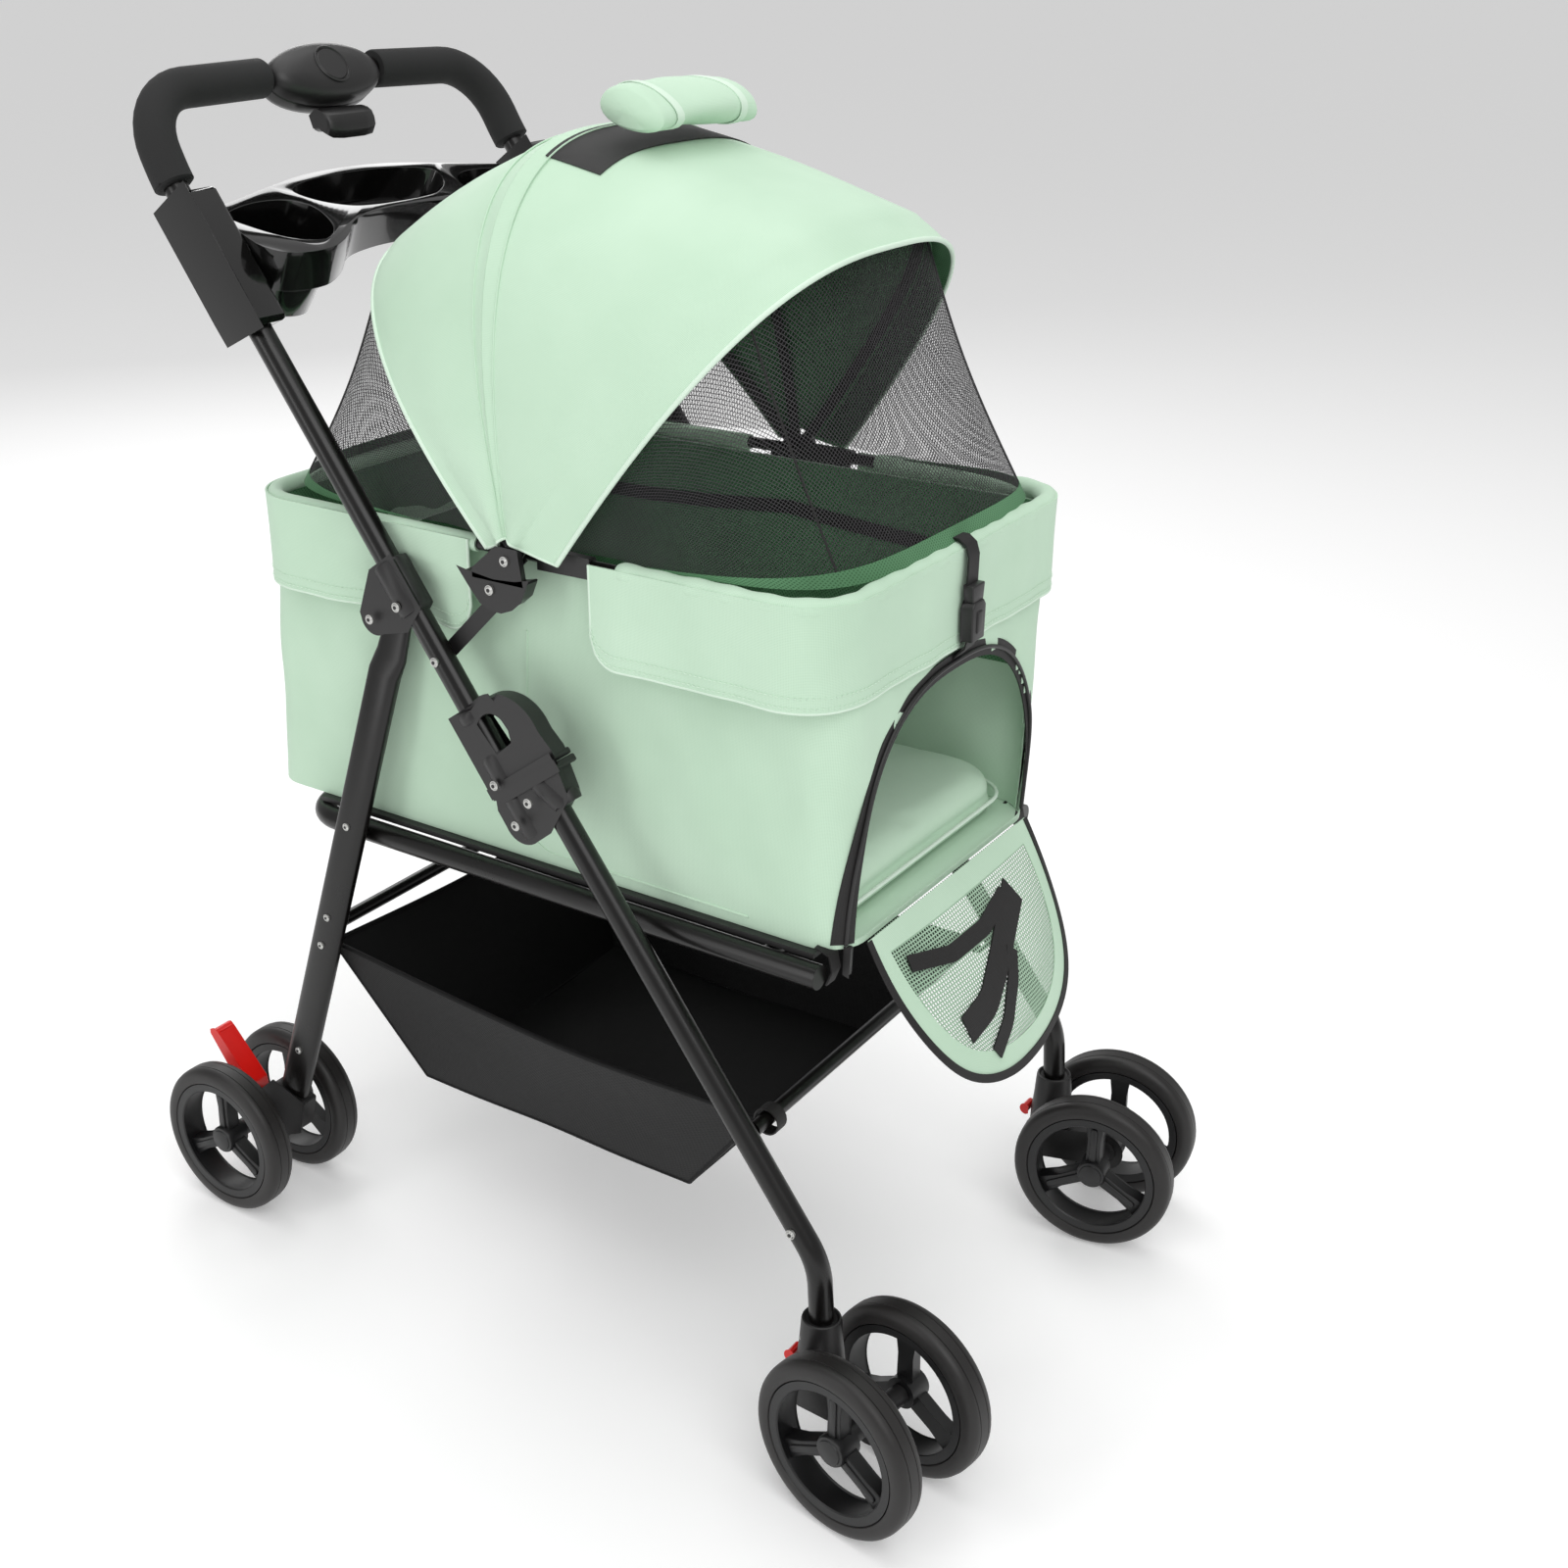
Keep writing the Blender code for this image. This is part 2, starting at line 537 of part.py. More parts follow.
def leg_brackets():
    """Clamps on the handle tubes that the rear legs hang from, just outside the legs."""
    along = ((LEG_PIVOT[0] - FOLD_PIVOT[0]) * ALONG[0] + (LEG_PIVOT[1] - FOLD_PIVOT[1]) * ALONG[1])
    across = ((LEG_PIVOT[0] - FOLD_PIVOT[0]) * ACROSS[0]
              + (LEG_PIVOT[1] - FOLD_PIVOT[1]) * ACROSS[1])
    inner = LEG_X + LEG_THICK / 2 + GAP
    for name, side in SIDE_NAMES.items():
        x = side * FRAME_X
        low, high = sorted((side * inner, side * (FRAME_X + 0.0135)))
        outline = [(0.0125, along - 0.014), (0.0125, along + 0.030), (-0.0135, along + 0.030)]
        outline += [(across - 0.010, along + 0.009)]
        outline += arc((across, along), 0.0125, 150, 270, 4) + [(-0.010, along - 0.022)]
        bracket = prism(f"leg_bracket_{name}", [latch_point(a, b) for a, b in outline], low, high,
                        BLACK_PLASTIC, (x, *LEG_PIVOT))
        bore = [Vector((x, *latch_point(0, along + b))) for b in (-0.05, 0.06)]
        cut(bracket, tube(f"bracket_bore_{name}", bore, BORE, BLACK_PLASTIC))


# Cabin and canopy
def rim_path(shrink=0.0, steps=4):
    """The cabin's rim as a rounded rectangle, anticlockwise from the right rear corner."""
    wide, front, rear = RIM_HALF_X - shrink, RIM_FRONT_Y + shrink, RIM_REAR_Y - shrink
    turn = 0.042 - shrink
    points = []
    for cx, cy, start in ((-wide + turn, rear - turn, 90), (-wide + turn, front + turn, 180),
                          (wide - turn, front + turn, 270), (wide - turn, rear - turn, 0)):
        points += arc((cx, cy), turn, start, start + 90, steps)
    return points


def cabin():
    """The rim hoop, the open fabric tub below it with its front doorway, and what lies inside."""
    tube("rim_frame", [Vector((x, y, RIM_Z)) for x, y in rim_path()], RIM_ROLL, MINT, 8,
         closed=True, origin=(0, *CANOPY_PIVOT))

    top_z = RIM_Z - RIM_ROLL - GAP

    def level(z, inset):
        share = (z - CABIN_BOTTOM_Z) / (top_z - CABIN_BOTTOM_Z)
        wide = CABIN_HALF_BOTTOM + (CABIN_HALF_TOP - CABIN_HALF_BOTTOM) * share - inset
        rear = RIM_REAR_Y + CABIN_STRETCH * (1 - share) - inset
        front = RIM_FRONT_Y + inset
        turn = 0.030 - inset
        points = []
        for cx, cy, start in ((-wide + turn, rear - turn, 90), (-wide + turn, front + turn, 180),
                              (wide - turn, front + turn, 270), (wide - turn, rear - turn, 0)):
            points += arc((cx, cy), turn, start, start + 90, 3)
        return [Vector((x, y, z)) for x, y in points]

    floor = CABIN_BOTTOM_Z + 0.003
    rings = [level(CABIN_BOTTOM_Z, 0), level(top_z, 0), level(top_z, CABIN_WALL),
             level(floor, CABIN_WALL)]
    tub = skin("cabin", rings, MINT)
    door = [(-0.115, floor + 0.012), (0.115, floor + 0.012), (0.115, 0.520)]
    door += arc((0.050, 0.520), 0.065, 0, 90, 4) + arc((-0.050, 0.520), 0.065, 90, 180, 4)
    rings = [[Vector((x, y, z)) for x, z in door] for y in (RIM_FRONT_Y - 0.03, RIM_FRONT_Y + 0.03)]
    cut(tub, skin("doorway", rings, MINT))

    slab("floor_board", [(-0.160, RIM_FRONT_Y + 0.02), (0.160, RIM_FRONT_Y + 0.02),
                         (0.160, 0.250), (-0.160, 0.250)],
         REAR_CROSSING[1] + TUBE + GAP, CABIN_BOTTOM_Z - GAP, BLACK_PLASTIC)

    half_x, front, rear = CABIN_HALF_BOTTOM - CABIN_WALL - 0.004, RIM_FRONT_Y + 0.016, RIM_REAR_Y + 0.008
    corners = (arc((-half_x + 0.03, rear - 0.03), 0.03, 90, 180, 3)
               + arc((-half_x + 0.03, front + 0.03), 0.03, 180, 270, 3)
               + arc((half_x - 0.03, front + 0.03), 0.03, 270, 360, 3)
               + arc((half_x - 0.03, rear - 0.03), 0.03, 0, 90, 3))
    slab("cushion", corners, floor + GAP, floor + 0.036, MINT, (0, 0, floor))

    # The mesh door hangs open from the floor's front edge and swings forward as it falls
    width, drop, lean = 0.128, 0.136, 0.54
    hang = []
    for i in range(17):
        a = math.pi * i / 16
        hang.append((-width * math.copysign(abs(math.cos(a)) ** 0.8, math.cos(a)),
                     -drop * abs(math.sin(a)) ** 0.8))
    hinge = (RIM_FRONT_Y - 0.004, CABIN_BOTTOM_Z + 0.004)
    rings = [[Vector((x, hinge[0] + z * lean + off, hinge[1] + z)) for x, z in hang]
             for off in (0, -0.002)]
    skin("door_flap", rings, MESH_GREEN, (0, *hinge))


def lower_frame():
    """A U of tube around the back, with the pivots' bosses and a bar under the floor's front."""
    front, rear = FRONT_CROSSING[0] - 0.137, REAR_CROSSING[0] + 0.056
    z = REAR_CROSSING[1]
    corners = [(-LOWER_X, front, z), (-LOWER_X, rear, z), (LOWER_X, rear, z), (LOWER_X, front, z)]
    frame = tube("lower_frame", rounded_path(corners, [0.035, 0.035], 4), TUBE, BLACK_PAINT)
    join(frame, tube("lower_bar", [Vector((s * LOWER_X, front + 0.05, z)) for s in (-1, 1)], 0.006,
                     BLACK_PAINT, 8))
    for name, side in SIDE_NAMES.items():
        for label, (y, _), end in (("rear", REAR_CROSSING, LEG_X - LEG_THICK / 2),
                                   ("front", FRONT_CROSSING, FRAME_X - TUBE)):
            reach = end - LOWER_X - GAP
            steps = sorted(((0, 0.0125), (side * reach, 0.0115)))
            join(frame, disc(f"{label}_boss_{name}", (side * LOWER_X, y, z), steps, BLACK_PLASTIC, 12))


def rib_point(share, half, radius):
    """A canopy arch's (x, distance from its pivot), as its share goes from 0 to 1."""
    a = math.pi * share
    power = 2 / 2.8
    x = -half * math.copysign(abs(math.cos(a)) ** power, math.cos(a))
    return x, radius * abs(math.sin(a)) ** power


def swing(angle, x, reach, out=0.0):
    """A point on a canopy arch's plane, raised by angle in degrees from the front."""
    a = math.radians(angle)
    return Vector((x, CANOPY_PIVOT[0] - reach * math.cos(a) + out * math.sin(a),
                   CANOPY_PIVOT[1] + reach * math.sin(a) + out * math.cos(a)))


def canopy():
    """Three flat hoops on one axis, the hood over them, the mesh at both ends and the hinges."""
    for label, angle in RIB_ANGLES.items():
        half = RIB_HALF[label]
        radius = CANOPY_RADIUS - (RIB_HALF["front"] - half)
        rings = []
        for i in range(25):
            x, reach = rib_point(i / 24, half, radius)
            inward = Vector((x, 0, reach)).normalized()
            x2, reach2 = x - inward.x * RIB_THICK, reach - inward.z * RIB_THICK
            if i in (0, 24):
                reach = reach2 = -0.006
            wide = RIB_WIDE / 2
            rings.append([swing(angle, x, reach, -wide), swing(angle, x, reach, wide),
                          swing(angle, x2, reach2, wide), swing(angle, x2, reach2, -wide)])
        skin(f"canopy_rib_{label}", rings, BLACK_PLASTIC, (0, *CANOPY_PIVOT))

    def sheet(name, rows, thick, mat):
        """A thin closed shell over a grid of points, thickened to its inner side."""
        count, length = len(rows), len(rows[0])
        inner = []
        for r, row in enumerate(rows):
            line = []
            for i, point in enumerate(row):
                down = rows[min(r + 1, count - 1)][i] - rows[max(r - 1, 0)][i]
                side = row[min(i + 1, length - 1)] - row[max(i - 1, 0)]
                line.append(point + side.cross(down).normalized() * thick)
            inner.append(line)
        rings = [outer + back[::-1] for outer, back in zip(rows, inner)]
        return skin(name, rings, mat, (0, *CANOPY_PIVOT))

    hood_half, hood_radius = RIB_HALF["front"] + 0.0035, CANOPY_RADIUS + 0.0035
    rows = []
    for angle in range(RIB_ANGLES["front"] - 2, RIB_ANGLES["rear"] + 4, 12):
        row = []
        for i in range(1, 20):
            x, reach = rib_point(0.018 + 0.964 * (i - 1) / 18, hood_half, hood_radius)
            row.append(swing(angle, x, reach))
        rows.append(row)
    sheet("canopy_hood", rows, HOOD_THICK, MINT)

    rise = RIM_Z + RIM_ROLL + 0.001
    for label, angle, way, edge_y in (("front", RIB_ANGLES["front"] - 5, -1, RIM_FRONT_Y),
                                      ("rear", RIB_ANGLES["rear"] + 5, 1, RIM_REAR_Y)):
        rows = []
        for step in range(6):
            row = []
            for i in range(17):
                share = 0.02 + 0.96 * i / 16
                x, reach = rib_point(share, hood_half - 0.012, hood_radius - 0.002)
                high = swing(angle, x, reach)
                turn = math.pi * share
                corner = 0.45
                lx = -(RIM_HALF_X - 0.004) * math.copysign(abs(math.cos(turn)) ** corner, math.cos(turn))
                start = CANOPY_PIVOT[0] + way * 0.03
                ly = start + (edge_y - start) * abs(math.sin(turn)) ** corner
                row.append(high.lerp(Vector((lx, ly, rise)), step / 5))
            rows.append(row if way < 0 else row[::-1])
        sheet(f"{label}_mesh", rows, 0.0012, MESH_GREY)

    # Each hinge is a plate outside the hoops, with a boat-shaped foot under the rim's edge and an
    # arm down inside the skirt to the handle tube
    arm_foot = latch_point(0, 0.140)
    for name, side in SIDE_NAMES.items():
        y, z = CANOPY_PIVOT
        plate = [(y - 0.014, z - 0.014), (y + 0.030, z - 0.014), (y + 0.030, z - 0.009),
                 (y + 0.008, z + 0.010), (y - 0.010, z + 0.010)]
        low, high = sorted((side * (RIB_HALF["front"] + 0.0012), side * 0.2045))
        bracket = prism(f"canopy_hinge_{name}", plate, low, high, BLACK_PLASTIC, (0, y, z))
        boat = [(y + 0.042, z - 0.012), (y + 0.024, z - 0.034), (y + 0.008, z - 0.038),
                (y - 0.012, z - 0.026), (y - 0.018, z - 0.012)]
        low, high = sorted((side * HINGE_INNER, side * 0.2045))
        join(bracket, prism(f"hinge_boat_{name}", boat, low, high, BLACK_PLASTIC))
        run = Vector((arm_foot[0] - (y + 0.012), arm_foot[1] - (z - 0.026))).normalized()
        wide = Vector((-run.y, run.x)) * 0.006
        head = Vector((y + 0.012, z - 0.026))
        foot = Vector(arm_foot) + run * 0.006
        arm = [tuple(head + wide), tuple(foot + wide), tuple(foot - wide), tuple(head - wide)]
        low, high = sorted((side * HINGE_INNER, side * (HINGE_INNER + 0.0024)))
        join(bracket, prism(f"hinge_arm_{name}", arm, low, high, BLACK_PLASTIC))
        low, high = sorted((side * (HINGE_INNER + 0.001), side * (FRAME_X - TUBE - GAP)))
        join(bracket, disc(f"arm_boss_{name}", (0, *arm_foot), [(low, 0.006), (high, 0.006)],
                           BLACK_PLASTIC, 10))


# Basket
def basket():
    """An open tapered bag hung between the front bar and the rear legs."""
    slope = 1 / math.tan(FRONT_LEG_TILT)
    front = FRONT_CROSSING[0] + (BASKET_TOP_Z - FRONT_CROSSING[1]) * slope + 0.009
    rear_leg = (REAR_CROSSING[0] - LEG_PIVOT[0]) / (REAR_CROSSING[1] - LEG_PIVOT[1])
    rear = REAR_CROSSING[0] + rear_leg * (BASKET_TOP_Z - REAR_CROSSING[1]) * 0.88 - 0.009
    bottom = BASKET_TOP_Z - BASKET_DEPTH

    def level(z, front_y, rear_y, wide, inset, lift=0.0):
        box = ((-wide + inset, rear_y - inset), (-wide + inset, front_y + inset),
               (wide - inset, front_y + inset), (wide - inset, rear_y - inset))
        return [Vector((x, y, z + (lift if y > 0 else 0))) for x, y in box]

    rings = [level(bottom, front + 0.085, rear - 0.070, 0.140, 0),
             level(BASKET_TOP_Z - 0.004, front, rear, 0.172, 0, 0.018),
             level(BASKET_TOP_Z - 0.004, front, rear, 0.172, 0.003, 0.018),
             level(bottom + 0.003, front + 0.085, rear - 0.070, 0.140, 0.003)]
    skin("basket", rings, BASKET_CLOTH, smooth=False)


lower_frame()
rear_legs()
front_legs()
handle()
latch_sliders()
leg_brackets()
cabin()
canopy()
basket()
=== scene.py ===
import math

import bmesh
import bpy
from mathutils import Matrix, Vector


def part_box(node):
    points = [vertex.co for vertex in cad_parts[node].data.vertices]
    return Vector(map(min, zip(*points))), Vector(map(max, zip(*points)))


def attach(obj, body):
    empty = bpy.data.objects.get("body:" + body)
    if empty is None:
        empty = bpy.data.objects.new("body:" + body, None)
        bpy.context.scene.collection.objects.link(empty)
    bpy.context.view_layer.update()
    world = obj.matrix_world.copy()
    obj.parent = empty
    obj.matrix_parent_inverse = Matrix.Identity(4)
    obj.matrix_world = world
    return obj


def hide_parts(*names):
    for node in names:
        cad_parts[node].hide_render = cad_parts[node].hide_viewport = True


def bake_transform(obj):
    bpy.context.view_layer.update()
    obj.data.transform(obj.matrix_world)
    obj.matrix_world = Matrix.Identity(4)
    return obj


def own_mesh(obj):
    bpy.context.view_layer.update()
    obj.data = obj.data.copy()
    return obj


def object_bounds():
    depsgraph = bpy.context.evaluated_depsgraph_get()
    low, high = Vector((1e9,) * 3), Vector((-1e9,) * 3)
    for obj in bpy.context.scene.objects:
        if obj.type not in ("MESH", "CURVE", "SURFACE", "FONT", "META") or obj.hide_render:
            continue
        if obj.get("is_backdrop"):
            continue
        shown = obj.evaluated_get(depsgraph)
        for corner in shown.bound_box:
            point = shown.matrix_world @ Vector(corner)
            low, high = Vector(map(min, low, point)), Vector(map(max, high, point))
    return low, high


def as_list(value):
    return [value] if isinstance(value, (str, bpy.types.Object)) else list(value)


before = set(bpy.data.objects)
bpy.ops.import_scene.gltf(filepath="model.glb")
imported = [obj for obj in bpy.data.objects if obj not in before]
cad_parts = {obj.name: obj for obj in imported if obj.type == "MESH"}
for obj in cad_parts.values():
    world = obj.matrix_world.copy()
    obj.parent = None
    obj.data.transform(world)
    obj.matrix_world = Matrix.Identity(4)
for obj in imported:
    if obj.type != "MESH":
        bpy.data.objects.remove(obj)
cad_low, cad_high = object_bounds()
SIDES = {"right": -1, "left": 1}


# Frame tubes. Round steel tube, cut, bent over a former and powder-coated black: a hard, even
# semi-gloss skin with a faint orange peel. The rear legs are the same steel rolled flat.
def linear(code):
    """A hex sRGB colour as linear RGBA."""
    parts = [int(code[i:i + 2], 16) / 255 for i in (1, 3, 5)]
    return (*(c / 12.92 if c <= 0.04045 else ((c + 0.055) / 1.055) ** 2.4 for c in parts), 1)


def add(tree, kind, inputs=None, **settings):
    """A node with its settings. A socket given as an input is linked, anything else is set."""
    made = tree.nodes.new(kind)
    for name, value in settings.items():
        setattr(made, name, value)
    for place, value in (inputs or {}).items():
        if isinstance(value, bpy.types.NodeSocket):
            tree.links.new(value, made.inputs[place])
        else:
            made.inputs[place].default_value = value
    return made


def blank(name, roughness, **sockets):
    """A material with its shader's constant sockets set, its node tree and its shader."""
    made = bpy.data.materials.new(name)
    made.use_nodes = True
    shader = made.node_tree.nodes["Principled BSDF"]
    shader.inputs["Roughness"].default_value = roughness
    for socket, value in sockets.items():
        shader.inputs[socket.replace("_", " ")].default_value = value
    return made, made.node_tree, shader


def moulded(name, dark, light, roughness, grain, relief, drift=0.05, spread=0.08, **sockets):
    """A solid skin with a grain of a real size, and a broad drift of colour and of polish."""
    made, tree, shader = blank(name, roughness, **sockets)
    place = add(tree, "ShaderNodeTexCoord").outputs["Object"]
    broad = add(tree, "ShaderNodeTexNoise", {"Vector": place, "Scale": 1 / drift, "Detail": 4.0})
    fine = add(tree, "ShaderNodeTexNoise", {"Vector": place, "Scale": 1 / grain, "Detail": 2.0})
    tint = add(tree, "ShaderNodeMix", {0: broad.outputs[0], 6: linear(dark), 7: linear(light)},
               data_type="RGBA")
    polish = add(tree, "ShaderNodeMapRange", {"Value": broad.outputs[0],
                                              "To Min": roughness - spread,
                                              "To Max": roughness + spread})
    bump = add(tree, "ShaderNodeBump", {"Height": fine.outputs[0], "Distance": relief,
                                        "Strength": 0.5})
    tree.links.new(tint.outputs[2], shader.inputs["Base Color"])
    tree.links.new(polish.outputs[0], shader.inputs["Roughness"])
    tree.links.new(bump.outputs[0], shader.inputs["Normal"])
    return made


def loft(name, rings, material, wrap=True, closed=False, caps=True):
    """Quads through rings of points, with a UV map in metres. wrap joins each ring's own ends,
    closed joins the last ring to the first, and caps fill the two open ends."""
    rings = [[Vector(p) for p in ring] for ring in rings]
    count, length = len(rings[0]), len(rings)
    middle, centre = rings[length // 2], [ring[count // 2] for ring in rings]
    across, along = [0.0], [0.0]
    for i in range(count):
        across.append(across[-1] + (middle[(i + 1) % count] - middle[i]).length)
    for i in range(length):
        along.append(along[-1] + (centre[(i + 1) % length] - centre[i]).length)
    bm = bmesh.new()
    layer = bm.loops.layers.uv.new("cloth")
    grid = [[bm.verts.new(p) for p in ring] for ring in rings]
    for r in range(length if closed else length - 1):
        for c in range(count if wrap else count - 1):
            spots = ((r, c), (r, c + 1), (r + 1, c + 1), (r + 1, c))
            face = bm.faces.new([grid[a % length][b % count] for a, b in spots])
            for corner, (a, b) in zip(face.loops, spots):
                corner[layer].uv = (across[b], along[a])
    if wrap and caps and not closed:
        for ring in (grid[0], grid[-1]):
            face = bm.faces.new(ring)
            for corner in face.loops:
                corner[layer].uv = (corner.vert.co.x, corner.vert.co.y)
    mesh = bpy.data.meshes.new(name)
    bm.to_mesh(mesh)
    bm.free()
    mesh.materials.append(material)
    made = bpy.data.objects.new(name, mesh)
    bpy.context.scene.collection.objects.link(made)
    return made


def settle(piece, sharp=38, outward=True):
    """Applies the modifiers, turns the faces outward and shades the piece."""
    bpy.context.view_layer.update()
    view = bpy.context.evaluated_depsgraph_get()
    mesh = bpy.data.meshes.new_from_object(piece.evaluated_get(view))
    piece.modifiers.clear()
    piece.data = mesh
    bm = bmesh.new()
    bm.from_mesh(mesh)
    bmesh.ops.remove_doubles(bm, verts=bm.verts, dist=2e-6)
    if outward:
        bmesh.ops.recalc_face_normals(bm, faces=bm.faces)
    bm.to_mesh(mesh)
    bm.free()
    mesh.shade_smooth()
    mesh.set_sharp_from_angle(angle=math.radians(sharp))
    return piece


def gather(name, parts):
    """Several settled pieces as one object."""
    with bpy.context.temp_override(active_object=parts[0], object=parts[0],
                                   selected_objects=parts, selected_editable_objects=parts):
        bpy.ops.object.join()
    parts[0].name = parts[0].data.name = name
    return parts[0]


def fit(piece, body, *nodes, slot=None):
    """The piece rides on a body in place of CAD nodes, which it hides; given a bend between two
    bodies from a start to an end, it only keeps its place. slot is not used."""
    if isinstance(body, str):
        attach(piece, body)
    else:
        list(body)
        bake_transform(piece)
    if nodes:
        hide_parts(*nodes)
    return piece


def rounded_path(corners, radii, steps=10):
    """A polyline whose inner corners are arcs of the given radii."""
    corners = [Vector(c) for c in corners]
    path = [corners[0]]
    for before, corner, after, radius in zip(corners, corners[1:], corners[2:], radii):
        one, two = (before - corner).normalized(), (after - corner).normalized()
        half = one.angle(two) / 2
        reach = radius / math.tan(half)
        centre = corner + (one + two).normalized() * radius / math.sin(half)
        begin, end = corner + one * reach - centre, corner + two * reach - centre
        whole = begin.angle(end)
        for i in range(steps + 1):
            a, b = math.sin((1 - i / steps) * whole), math.sin(i / steps * whole)
            path.append(centre + (begin * a + end * b) / math.sin(whole))
    return path + [corners[-1]]


def pipe(name, path, radius, material, sides=24, closed=False, sharp=38):
    """A round bar along a path. radius is a number, or a list with one for each point."""
    path = [Vector(p) for p in path]
    count = len(path)
    sizes = radius if isinstance(radius, list) else [radius] * count
    across, rings = None, []
    for i, point in enumerate(path):
        after = path[(i + 1) % count] if closed or i + 1 < count else point
        before = path[i - 1] if closed or i else point
        ahead = (after - before).normalized()
        if across is None:
            across = ahead.orthogonal()
        across = (across - ahead * across.dot(ahead)).normalized()
        other = ahead.cross(across)
        turns = [math.tau * k / sides for k in range(sides)]
        rings.append([point + (across * math.cos(a) + other * math.sin(a)) * sizes[i]
                      for a in turns])
    return settle(loft(name, rings, material, closed=closed), sharp)


PAINT = moulded("powder_coated_steel", "#070606", "#0D0B0A", 0.30, 0.0015, 0.00006,
                Specular_IOR_Level=0.35, Coat_Weight=0.15, Coat_Roughness=0.2)
TUBE, THIN_BAR, FRAME_X, LEG_X, LOWER_X = 0.0095, 0.006, 0.200, 0.183, 0.165
FOLD, TILT = (-0.0155, 0.470), math.radians(53.8)
ALONG, ACROSS = (math.cos(TILT), math.sin(TILT)), (-math.sin(TILT), math.cos(TILT))


def latch_point(across, along):
    """(y, z) of a point across and along the handle tube from the fold's axis."""
    return tuple(FOLD[i] + across * ACROSS[i] + along * ALONG[i] for i in (0, 1))


low, grip_foot = latch_point(0, 0.031), latch_point(0, 0.418)
grip_bend = (grip_foot[0] + 0.0835, grip_foot[1] + 0.1035)
corner = (grip_bend[0] + 0.036, 0.976)
half = [(-FRAME_X, *low), (-FRAME_X, *grip_foot), (-FRAME_X + 0.001, *grip_bend),
        (-FRAME_X + 0.004, *corner)]
handle_path = rounded_path(half + [(0, corner[0] + 0.005, 0.980)]
                           + [(-x, y, z) for x, y, z in reversed(half)],
                           (0.3, 0.2, 0.052, 0.8, 0.052, 0.2, 0.3))
fit(pipe("handle_tube", handle_path, TUBE, PAINT), "handle", "handle_frame", slot="black_paint")

LOWER_Z, FOOT_Z, BASKET_BAR_Z = 0.391, 0.114, 0.262
FRONT_CROSS, REAR_CROSS, LEG_PIVOT = (-0.1110, LOWER_Z), (0.2047, LOWER_Z), (0.124, 0.604)
lean = 1 / math.tan(math.radians(52.9))
STEM_Y = -0.2765
leg_top = latch_point(0.0285, 0.017)
for side, way in SIDES.items():
    corners = [(way * FRAME_X, *leg_top),
               (way * FRAME_X, FRONT_CROSS[0] + (0.176 - FRONT_CROSS[1]) * lean, 0.176),
               (way * FRAME_X, STEM_Y, 0.128)]
    fit(pipe(f"front_leg_tube_{side}", rounded_path(corners, [0.06], 14), TUBE, PAINT),
        "front_legs", f"front_leg_{side}", slot="black_paint")

# The flat legs: an oval section, thinned where it meets the bracket
pivot = Vector((0, *LEG_PIVOT))
foot = Vector((0, REAR_CROSS[0] + (REAR_CROSS[0] - LEG_PIVOT[0]) / (LOWER_Z - LEG_PIVOT[1])
               * (FOOT_Z - LOWER_Z) * 0.80, FOOT_Z))
down = (foot - pivot).normalized()
wide = Vector((0, -down.z, down.y))
for side, way in SIDES.items():
    rings = []
    for drop, shift, thick, width in ((-0.014, LEG_X - 0.0035, 0.0060, 0.014),
                                      (-0.012, LEG_X - 0.0035, 0.0067, 0.022),
                                      (0.045, LEG_X - 0.0035, 0.0067, 0.0296),
                                      (0.060, LEG_X, 0.0136, 0.0296),
                                      ((foot - pivot).length, LEG_X, 0.0136, 0.0296)):
        ring = []
        for i in range(32):
            a = math.tau * i / 32
            out = thick / 2 * math.copysign(abs(math.cos(a)) ** 0.6, math.cos(a))
            ring.append(pivot + down * drop + wide * (width / 2 * math.sin(a))
                        + Vector((way * shift + out, 0, 0)))
        rings.append(ring)
    fit(settle(loft(f"rear_leg_tube_{side}", rings, PAINT)), "rear_legs", f"rear_leg_{side}",
        slot="black_paint")

tail, nose = REAR_CROSS[0] + 0.056, FRONT_CROSS[0] - 0.137
u_path = rounded_path([(-LOWER_X, nose, LOWER_Z), (-LOWER_X, tail, LOWER_Z),
                       (LOWER_X, tail, LOWER_Z), (LOWER_X, nose, LOWER_Z)], [0.035, 0.035])
parts = [pipe("lower_u", u_path, TUBE, PAINT),
         pipe("lower_bar", [(w * LOWER_X, nose + 0.05, LOWER_Z) for w in (-1, 1)], THIN_BAR,
              PAINT, 16)]
fit(gather("lower_frame_tube", parts), "base", "lower_frame", slot="black_paint")
bar_y = FRONT_CROSS[0] + (BASKET_BAR_Z - FRONT_CROSS[1]) * lean
fit(pipe("basket_front_bar", [(w * 0.190, bar_y, BASKET_BAR_Z) for w in (-1, 1)], THIN_BAR,
         PAINT, 16),
    "front_legs", "basket_crossbar", slot="black_paint")
cross = (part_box("rear_cross_tube")[0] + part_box("rear_cross_tube")[1]) / 2
fit(pipe("rear_tie_bar", [(w * 0.1755, cross.y, cross.z) for w in (-1, 1)], THIN_BAR, PAINT, 16),
    "rear_legs", "rear_cross_tube", slot="black_paint")


# Wheels. A foamed-rubber tyre with two shallow grooves, pressed on a moulded black rim with
# three ribbed spokes and a round hub cap. The rubber is matt, the rim has a soft sheen.
TYRE = moulded("foamed_rubber", "#141313", "#201D1C", 0.48, 0.0012, 0.0001, spread=0.1)
RIM = moulded("moulded_wheel_plastic", "#0E0E0F", "#161617", 0.42, 0.0010, 0.00004)
WHEEL, HALF_WIDE = 0.070, 0.013


